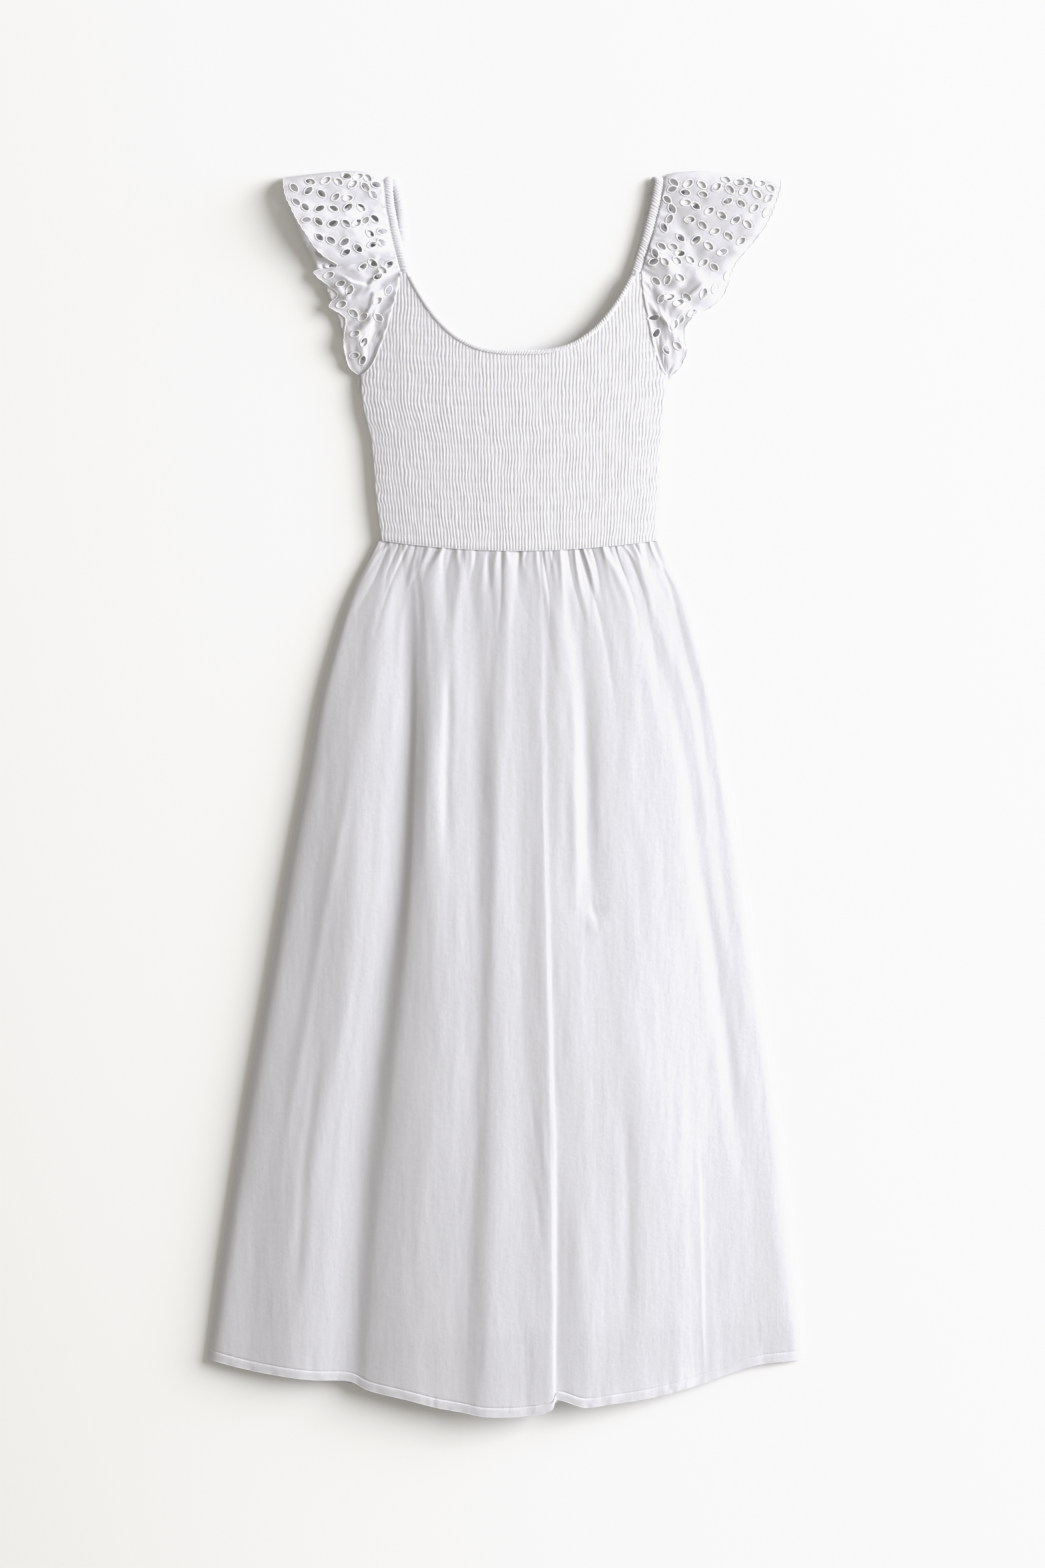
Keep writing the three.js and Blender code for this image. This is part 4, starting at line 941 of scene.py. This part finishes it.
# Creases across the sleeves, written as those of the skirt
sleeveCreases = {
    "left": [
        (3.6, 9, True, [(-126, 541), (-132, 527), (-141, 517), (-156, 519), (-170, 529)]),
        (2.6, 8, True, [(-120, 512), (-136, 508), (-139, 495), (-148, 480)]),
        (-2.2, 4, False, [(-162, 470), (-150, 477), (-139, 486)]),
        (1.8, 4, False, [(-176, 520), (-168, 508), (-158, 500)]),
        (-1.6, 4.5, False, [(-166, 606), (-150, 607), (-139, 612)]),
        (-0.9, 5, False, [(-206, 600), (-185, 601), (-170, 599)]),
        (1.1, 6, False, [(-140, 574), (-154, 570), (-170, 566)]),
        (-1.2, 5, False, [(-136, 596), (-146, 588), (-152, 574)]),
        (1.6, 4, False, [(-151, 466), (-147, 452), (-146, 438)]),
        (-1.6, 4, False, [(-128, 492), (-133, 476), (-136, 460)]),
    ],
    "right": [
        (2.4, 10, True, [(203, 522), (190, 510), (176, 500), (168, 490)]),
        (2.1, 9, True, [(140, 497), (152, 487), (160, 480), (171, 470)]),
        (-0.9, 7, False, [(160, 600), (172, 590), (184, 566), (203, 530)]),
        (-1.2, 4, False, [(206, 606), (196, 602), (180, 600)]),
        (1.2, 6, False, [(186, 530), (196, 520), (212, 508)]),
        (1.4, 5, False, [(150, 556), (158, 545), (170, 530)]),
        (-1.3, 4, False, [(170, 506), (180, 514), (188, 524)]),
        (0.9, 5, False, [(186, 470), (190, 486), (200, 497)]),
        (0.7, 7, False, [(240, 560), (226, 546), (214, 530)]),
    ],
}


def sleeveSeamX(side, y):
    out = -1 if side == "left" else 1
    edge, corner = strapBase[side + "Outer"], bodice[side][-1]
    onStrap = strapX(side, "front", y) + out * (strap["width"] / 2 + seam)
    share = np.clip((y - armhole["underarm"]) / (strapBase["y"] - armhole["underarm"]), 0, 1)
    onArmhole = mix(corner, edge, share ** (1 / armhole["power"])) + out * 1.2
    return np.where(y > strapBase["y"], onStrap, onArmhole)


def flutterPoint(side, share, out):
    rows = flutter[side]
    stations = np.linspace(0, 1, len(frillSeamY))
    value = lambda key: along(stations, rows[key], share)
    middle = 4 * out * (1 - out)
    seamY = along(stations, frillSeamY, share)
    bow = np.exp(-share / shoulderBow["reach"]) * np.sin(np.pi * out ** shoulderBow["lean"])
    x = mix(sleeveSeamX(side, seamY), value("edgeX"), out)
    y = mix(seamY, value("edgeY"), out) + shoulderBow["rise"] * bow
    z = mix(value("seamZ"), value("edgeZ"), out)
    z = z + middle * (value("midZ") - (value("seamZ") + value("edgeZ")) / 2)
    return np.stack([x, y, z], -1)


# The free length of the frill at each share of it, from the lengths of its edge and its middle.
def frillRun(side):
    share = np.linspace(0, 1, 1201)
    runs = []
    for out in (0.5, 1.0):
        runs.append(runAlong(flutterPoint(side, share, out + 0 * share)))
    return share, (runs[0] + runs[1]) / 2


# The height that creases add to the cloth at places seen from above.
def creaseLift(x, y, creases):
    lift = np.zeros(np.broadcast(x, y).shape)
    for rise, width, isStep, line in creases:
        line = np.array(line, float)
        steps = np.linalg.norm(np.diff(line, axis=0), axis=1)
        best = np.full(lift.shape, 1e9)
        signed, run = np.zeros(lift.shape), np.zeros(lift.shape)
        for k, length in enumerate(steps):
            ahead = (line[k + 1] - line[k]) / length
            dx, dy = x - line[k, 0], y - line[k, 1]
            t = np.clip(dx * ahead[0] + dy * ahead[1], 0, length)
            gap = np.hypot(dx - t * ahead[0], dy - t * ahead[1])
            nearer = gap < best
            best = np.where(nearer, gap, best)
            signed = np.where(nearer, np.where(ahead[0] * dy > ahead[1] * dx, gap, -gap), signed)
            run = np.where(nearer, steps[:k].sum() + t, run)
        fade = np.clip(np.minimum(run, steps.sum() - run) / steps.sum() * 4, 0, 1)
        if isStep:
            shape = (0.5 + 0.5 * np.tanh(signed / 0.8)) * np.exp(-np.maximum(signed, 0) / width)
            shape = shape * ease(fade)
        else:
            shape = np.exp(-(best / width) ** 2) * (0.25 + 0.75 * ease(fade))
        lift += rise * shape
    return lift


# The cloth's own coordinates under places seen from above.
def underPlan(side, targets):
    share, out = np.meshgrid(np.linspace(0, 1, 401), np.linspace(0, 1, 61), indexing="ij")
    share, out = share.ravel(), out.ravel()
    known = flutterPoint(side, share, out)[:, :2]
    nearest = np.array([np.argmin(((known - target) ** 2).sum(1)) for target in targets])
    share, out = share[nearest], out[nearest]
    small = 1e-4
    for _ in range(5):
        here = flutterPoint(side, share, out)[:, :2]
        byShare = (flutterPoint(side, share + small, out)[:, :2] - here) / small
        byOut = (flutterPoint(side, share, out + small)[:, :2] - here) / small
        miss = targets - here
        det = byShare[:, 0] * byOut[:, 1] - byShare[:, 1] * byOut[:, 0]
        det = np.where(np.abs(det) < 1, np.copysign(1, det), det)
        share = np.clip(share + (miss[:, 0] * byOut[:, 1] - miss[:, 1] * byOut[:, 0]) / det, 0, 1)
        out = np.clip(out + (byShare[:, 0] * miss[:, 1] - byShare[:, 1] * miss[:, 0]) / det, 0, 1)
    miss = np.linalg.norm(targets - flutterPoint(side, share, out)[:, :2], axis=1)
    return share, out, miss


# The outline of a leaf about its middle, turned by an angle.
def leafOutline(middle, long, wide, angle):
    return np.stack([middle[0] + long * math.cos(angle) - wide * math.sin(angle),
                     middle[1] + long * math.sin(angle) + wide * math.cos(angle)], -1)


def leafLoops(side, run, share):
    width = flutter[side]["clothWidth"]
    turn = 2 * np.pi * np.arange(eyelet["points"]) / eyelet["points"]
    long = eyelet["length"] / 2 * np.cos(turn)
    wide = eyelet["width"] / 2 * np.sin(turn) * np.abs(np.sin(turn)) ** 0.2
    kept = eyelet["edgeKept"]
    random = np.random.default_rng(91)
    loops = []
    for x, y, degrees in eyelets[side]:
        lean = math.radians(degrees + random.uniform(-5, 5))
        size = random.uniform(0.93, 1.06)
        at, out, miss = underPlan(side, leafOutline((x, y), long * size, wide * size, lean))
        loop = np.stack([np.interp(at, share, run), out * width], -1)
        inside = loop.min() > kept and loop[:, 0].max() < run[-1] - kept and loop[:, 1].max() < width - kept
        gaps = [np.linalg.norm(loop[:, None] - other[None], axis=2).min() for other in loops]
        apart = min(gaps, default=1e9) > eyelet["apart"]
        clear = not any(insideLoop(loop, other).any() or insideLoop(other, loop).any() for other in loops)
        if inside and apart and clear and miss.max() < 0.5:
            loops.append(loop)
    return loops


# Triangles of a flat panel with holes: an even grid of points, fitted round every hole's outline.
def cutPanel(corners, loops, spacing, insideTest=None):
    low, high = corners.min(0), corners.max(0)
    u = np.linspace(low[0], high[0], max(2, int((high[0] - low[0]) / spacing)) + 1)
    w = np.linspace(low[1], high[1], max(2, int((high[1] - low[1]) / spacing)) + 1)
    grid = np.stack(np.meshgrid(u, w, indexing="ij"), -1).reshape(-1, 2)
    keep = np.ones(len(grid), bool)
    if insideTest is not None:
        keep &= insideTest(grid) > spacing * 0.45
    for loop in loops:
        middle = loop.mean(0)
        near = np.linalg.norm(grid - middle, axis=1) < np.linalg.norm(loop - middle, axis=1).max() + spacing
        gap = np.linalg.norm(grid[near][:, None] - loop[None], axis=2).min(1)
        keep[np.flatnonzero(near)[(gap < spacing * 0.5) | insideLoop(grid[near], loop)]] = False
    points = [grid[keep]]
    edges = []
    start = len(points[0])
    outline = [corners] if insideTest is not None else []
    for loop in outline + list(loops):
        count = len(loop)
        edges += [(start + k, start + (k + 1) % count) for k in range(count)]
        points.append(loop)
        start += count
    flat = np.concatenate(points)
    made = delaunay_2d_cdt([tuple(p) for p in flat.tolist()], edges, [], 0, 1e-6, False)
    where = np.array([tuple(p) for p in made[0]])
    triangles = np.array([tuple(f) for f in made[2]])
    middles = where[triangles].mean(1)
    inside = np.ones(len(triangles), bool)
    if insideTest is not None:
        inside &= insideLoop(middles, corners)
    for loop in loops:
        reach = np.linalg.norm(loop - loop.mean(0), axis=1).max()
        near = np.flatnonzero(np.linalg.norm(middles - loop.mean(0), axis=1) < reach)
        inside[near[insideLoop(middles[near], loop)]] = False
    return where, triangles[inside]


def insideLoop(points, loop):
    x, y = points[:, 0, None], points[:, 1, None]
    a, b = loop, np.roll(loop, -1, 0)
    crossing = (a[:, 1] > y) != (b[:, 1] > y)
    rise = np.where(np.abs(b[:, 1] - a[:, 1]) < 1e-9, 1e-9, b[:, 1] - a[:, 1])
    return (crossing & (x < (b[:, 0] - a[:, 0]) * (y - a[:, 1]) / rise + a[:, 0])).sum(1) % 2 == 1


# A closed thin panel from triangles, an upper face and a lower face, with walls along every cut edge.
def thickPanel(upper, lower, triangles):
    count = len(upper)
    directed = np.concatenate([triangles[:, [0, 1]], triangles[:, [1, 2]], triangles[:, [2, 0]]])
    seen = {(int(a), int(b)) for a, b in directed}
    walls = [(b, a, a + count, b + count) for a, b in seen if (b, a) not in seen]
    used = np.unique(triangles)
    renumber = np.full(count * 2, -1)
    renumber[used] = np.arange(len(used))
    renumber[used + count] = len(used) + np.arange(len(used))
    faces = triangles.tolist() + (triangles[:, ::-1] + count).tolist() + walls
    faces = [[int(renumber[v]) for v in face] for face in faces]
    return np.concatenate([upper[used], lower[used]]), faces


# The embroidery: a raised rim round each eyelet and a cord along the free edge.
def embroidery(surface, loops, edges):
    points, faces, start = [], [], 0
    lines = [(loop, eyelet["rim"], True) for loop in loops]
    lines += [(edge, eyelet["edgeCord"], False) for edge in edges]
    for line, radius, closed in lines:
        if closed:
            line = line.mean(0) + (line - line.mean(0)) * eyelet["rimShare"]
        place, normal = surface(line[:, 0], line[:, 1])
        ahead = np.roll(place, -1, 0) - np.roll(place, 1, 0) if closed else np.gradient(place, axis=0)
        beside = unit(np.cross(unit(ahead), normal))
        raised = place + normal * eyelet["rimRise"]
        rings = ringsAbout(raised, beside * radius, normal * radius * eyelet["rimHeight"], 6)
        made, more = tubeThrough(rings, closed, start)
        points.append(made)
        faces += more
        start += len(made)
    return np.concatenate(points), faces


# The upper half of a sleeve: the place of each point of its cloth, from its way along and across the frill.
def frillShape(side):
    share, run = frillRun(side)
    width = flutter[side]["clothWidth"]

    def place(u, w):
        at = np.interp(u, run, share)
        bay = np.abs(np.sin(np.pi * u / eyelet["scallopPitch"])) ** 0.7
        out = np.clip((w - eyelet["scallop"] * (1 - bay) * np.exp(-(width - w) / 3)) / width, 0, 1)
        point = flutterPoint(side, at, out)
        start = flutterPoint(side, at, 0 * out)
        onBodice = np.clip((strapBase["y"] - start[..., 1]) / 8, 0, 1)
        meet = bodiceHeight(start[..., 0], start[..., 1]) + frill["overBodice"] - start[..., 2]
        point[..., 2] += meet * onBodice * np.exp(-w / frill["overReach"])
        onto = frill["ontoBodice"] * onBodice * np.exp(-w / frill["ontoReach"])
        point[..., 0] -= np.sign(point[..., 0]) * onto
        inside = np.clip(np.minimum(at, 1 - at) * 25, 0, 1)
        tucks = np.sin(u / frill["tuckPitch"] + 2 * softNoise(u / 9, w * 0, 71))
        tucks = frill["tuckHeight"] * np.exp(-w / frill["tuckReach"]) * tucks
        crumple = frill["crumple"] * softNoise(u / 24 + 5, w / 30, 72)
        crumple = crumple + frill["fineCrumple"] * softNoise(u / 8, w / 9, 73)
        crumple = crumple + creaseLift(point[..., 0], point[..., 1], sleeveCreases[side])
        edge = frill["edgeWave"] * softNoise(u / 5, w * 0, 74) * np.exp(-(width - w) / frill["edgeReach"])
        point[..., 2] += (tucks * np.clip(w / 2, 0, 1) + crumple + edge) * inside
        return point

    return share, run, width, place


def sleeveFront(side):
    share, run, width, place = frillShape(side)

    def surface(u, w):
        small = 0.4
        downwards = place(u + small, w) - place(u - small, w)
        outwards = place(u, w + small) - place(u, w - small)
        normal = unit(np.cross(downwards, outwards))
        return place(u, w), normal * np.where(normal[..., 2:] < 0, -1, 1)

    loops = leafLoops(side, run, share)
    corners = np.array([[0, 0], [run[-1], width]])
    flat, triangles = cutPanel(corners, loops, eyelet["grid"])
    top, normal = surface(flat[:, 0], flat[:, 1])
    panel = thickPanel(top, top - normal * eyelet["cloth"], triangles)
    title = "sleeve" + side.capitalize() + "Front"
    piece = newPiece(title, *panel, cottonEyelet, "eyelet_cotton", ["sleeve_" + side + "_front"])
    a, b, c = (top[triangles[:, k]] for k in range(3))
    area = np.linalg.norm(np.cross(b - a, c - a), axis=1).sum() / 2
    width * mm
    run[-1] * mm
    free = np.linspace(0, run[-1], 240)
    edgeLine = np.stack([free, 0 * free + width - frill["edgeInside"]], -1)
    newPiece(title + "Embroidery", *embroidery(surface, loops, [edgeLine]), thread, "eyelet_cotton")
    print(title, len(loops), "eyelets, frill", round(run[-1]), "mm long")


backEdges = {
    "left": {"x": [-227, -214, -196, -181, -162, -151], "y": [626, 578, 540, 506, 452, 405]},
    "right": {"x": [278, 256, 222, 190, 176, 166.6], "y": [625, 576, 530, 486, 446, 416]},
}
backLeaf = {"halfLength": 4.7, "halfWidth": 2.6, "turn": 0.74, "pitchX": 14.1, "pitchY": 15.5, "stagger": 1.7,
            "edgeKept": 4}
# The lower half of a sleeve rises under the upper half and comes down at the strap and the armhole.
backFrill = {"grid": 3.4, "fromSeam": 0.6, "underFront": 1.35, "highest": 9, "lowest": 0.9, "atSeam": 1.3,
             "reach": 16, "crumple": 0.15}


def sleeveBack(side):
    share = np.linspace(0, 1, 57)
    inner = flutterPoint(side, share, 0 * share)[:, :2]
    inner[:, 0] += np.sign(inner[:, 0]) * backFrill["fromSeam"]
    stations = np.linspace(0, 1, 6)
    outer = np.stack([along(stations, backEdges[side][axis], share) for axis in "xy"], -1)
    shoulder = flutterPoint(side, np.zeros(3), np.array([0.75, 0.5, 0.25]))[:, :2]
    outline = np.concatenate([inner, outer[::-1], shoulder])
    middle = flutterPoint(side, np.array([0.2]), np.array([0.5]))[0, :2] + (7, -8)
    nearest = lambda points, line: np.linalg.norm(points[:, None] - line[None], axis=2).min(1)
    insideBy = lambda points: np.where(insideLoop(points, outline), nearest(points, outline), -1)
    turn = 2 * np.pi * np.arange(12) / 12
    long, wide = backLeaf["halfLength"] * np.cos(turn), backLeaf["halfWidth"] * np.sin(turn)
    loops = []
    for j in range(-9, 10):
        for i in range(-9, 10):
            centre = middle + (i * backLeaf["pitchX"], j * backLeaf["pitchY"] + i * backLeaf["stagger"])
            loop = leafOutline(centre, long, wide, backLeaf["turn"] if (i + j) % 2 else -backLeaf["turn"])
            if insideBy(loop).min() > backLeaf["edgeKept"]:
                loops.append(loop)
    flat, triangles = cutPanel(outline, loops, backFrill["grid"], insideBy)
    at, out, _ = underPlan(side, flat)
    share, run, width, place = frillShape(side)
    over = place(np.interp(at, share, run), out * width)[:, 2]
    puffed = np.clip(over - backFrill["underFront"], backFrill["lowest"], backFrill["highest"])
    puffed += backFrill["crumple"] * softNoise(flat[:, 0] / 14, flat[:, 1] / 14, 81)
    risen = ease(np.clip(nearest(flat, inner) / backFrill["reach"], 0, 1))
    top = np.column_stack([flat, mix(np.minimum(puffed, backFrill["atSeam"]), puffed, risen)])
    panel = thickPanel(top, top - (0, 0, eyelet["cloth"]), triangles)
    title = "sleeve" + side.capitalize() + "Back"
    piece = newPiece(title, *panel, cottonUnder, "eyelet_cotton", ["sleeve_" + side + "_back"])


# the skirt's painted shade below the slip's hem: its line, slant, blur and how much darker it is
cottonSkirt = cottonFinish("cottonPoplin", paintedSlipShade={"y": -548.8, "slope": 0.041, "blur": 5, "tint": 0.992})
cottonShirred = cottonFinish("shirredCotton", along=(160, 160, 160), crease=0.3, crumple=0.6, sheer=0.55)
eyeletWeave = {"along": (70, 70, 70), "crease": 0.8, "tint": 1.06}
cottonEyelet = cottonFinish("eyeletCotton", sheer=1.3, **eyeletWeave)
cottonUnder = cottonFinish("eyeletCottonUnder", sheer=0.05, **eyeletWeave)
slipCotton = cottonFinish("slipVoile", crease=0.6, tint=0.98)
thread = threadFinish("whiteThread")
buildStudio()
print("studio and finishes ready")
skirtBack()
skirtLining()
skirtFront()
bodiceBack()
bodiceFront()
neckBand("back")
neckBand("front")
for side in ("left", "right"):
    shoulderStrap(side)
    sleeveBack(side)
    sleeveFront(side)
print("pieces ready")

asLists = lambda box: [[float(v) for v in corner] for corner in box]
{"cad": asLists(cadBox), "visual": asLists(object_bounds())}
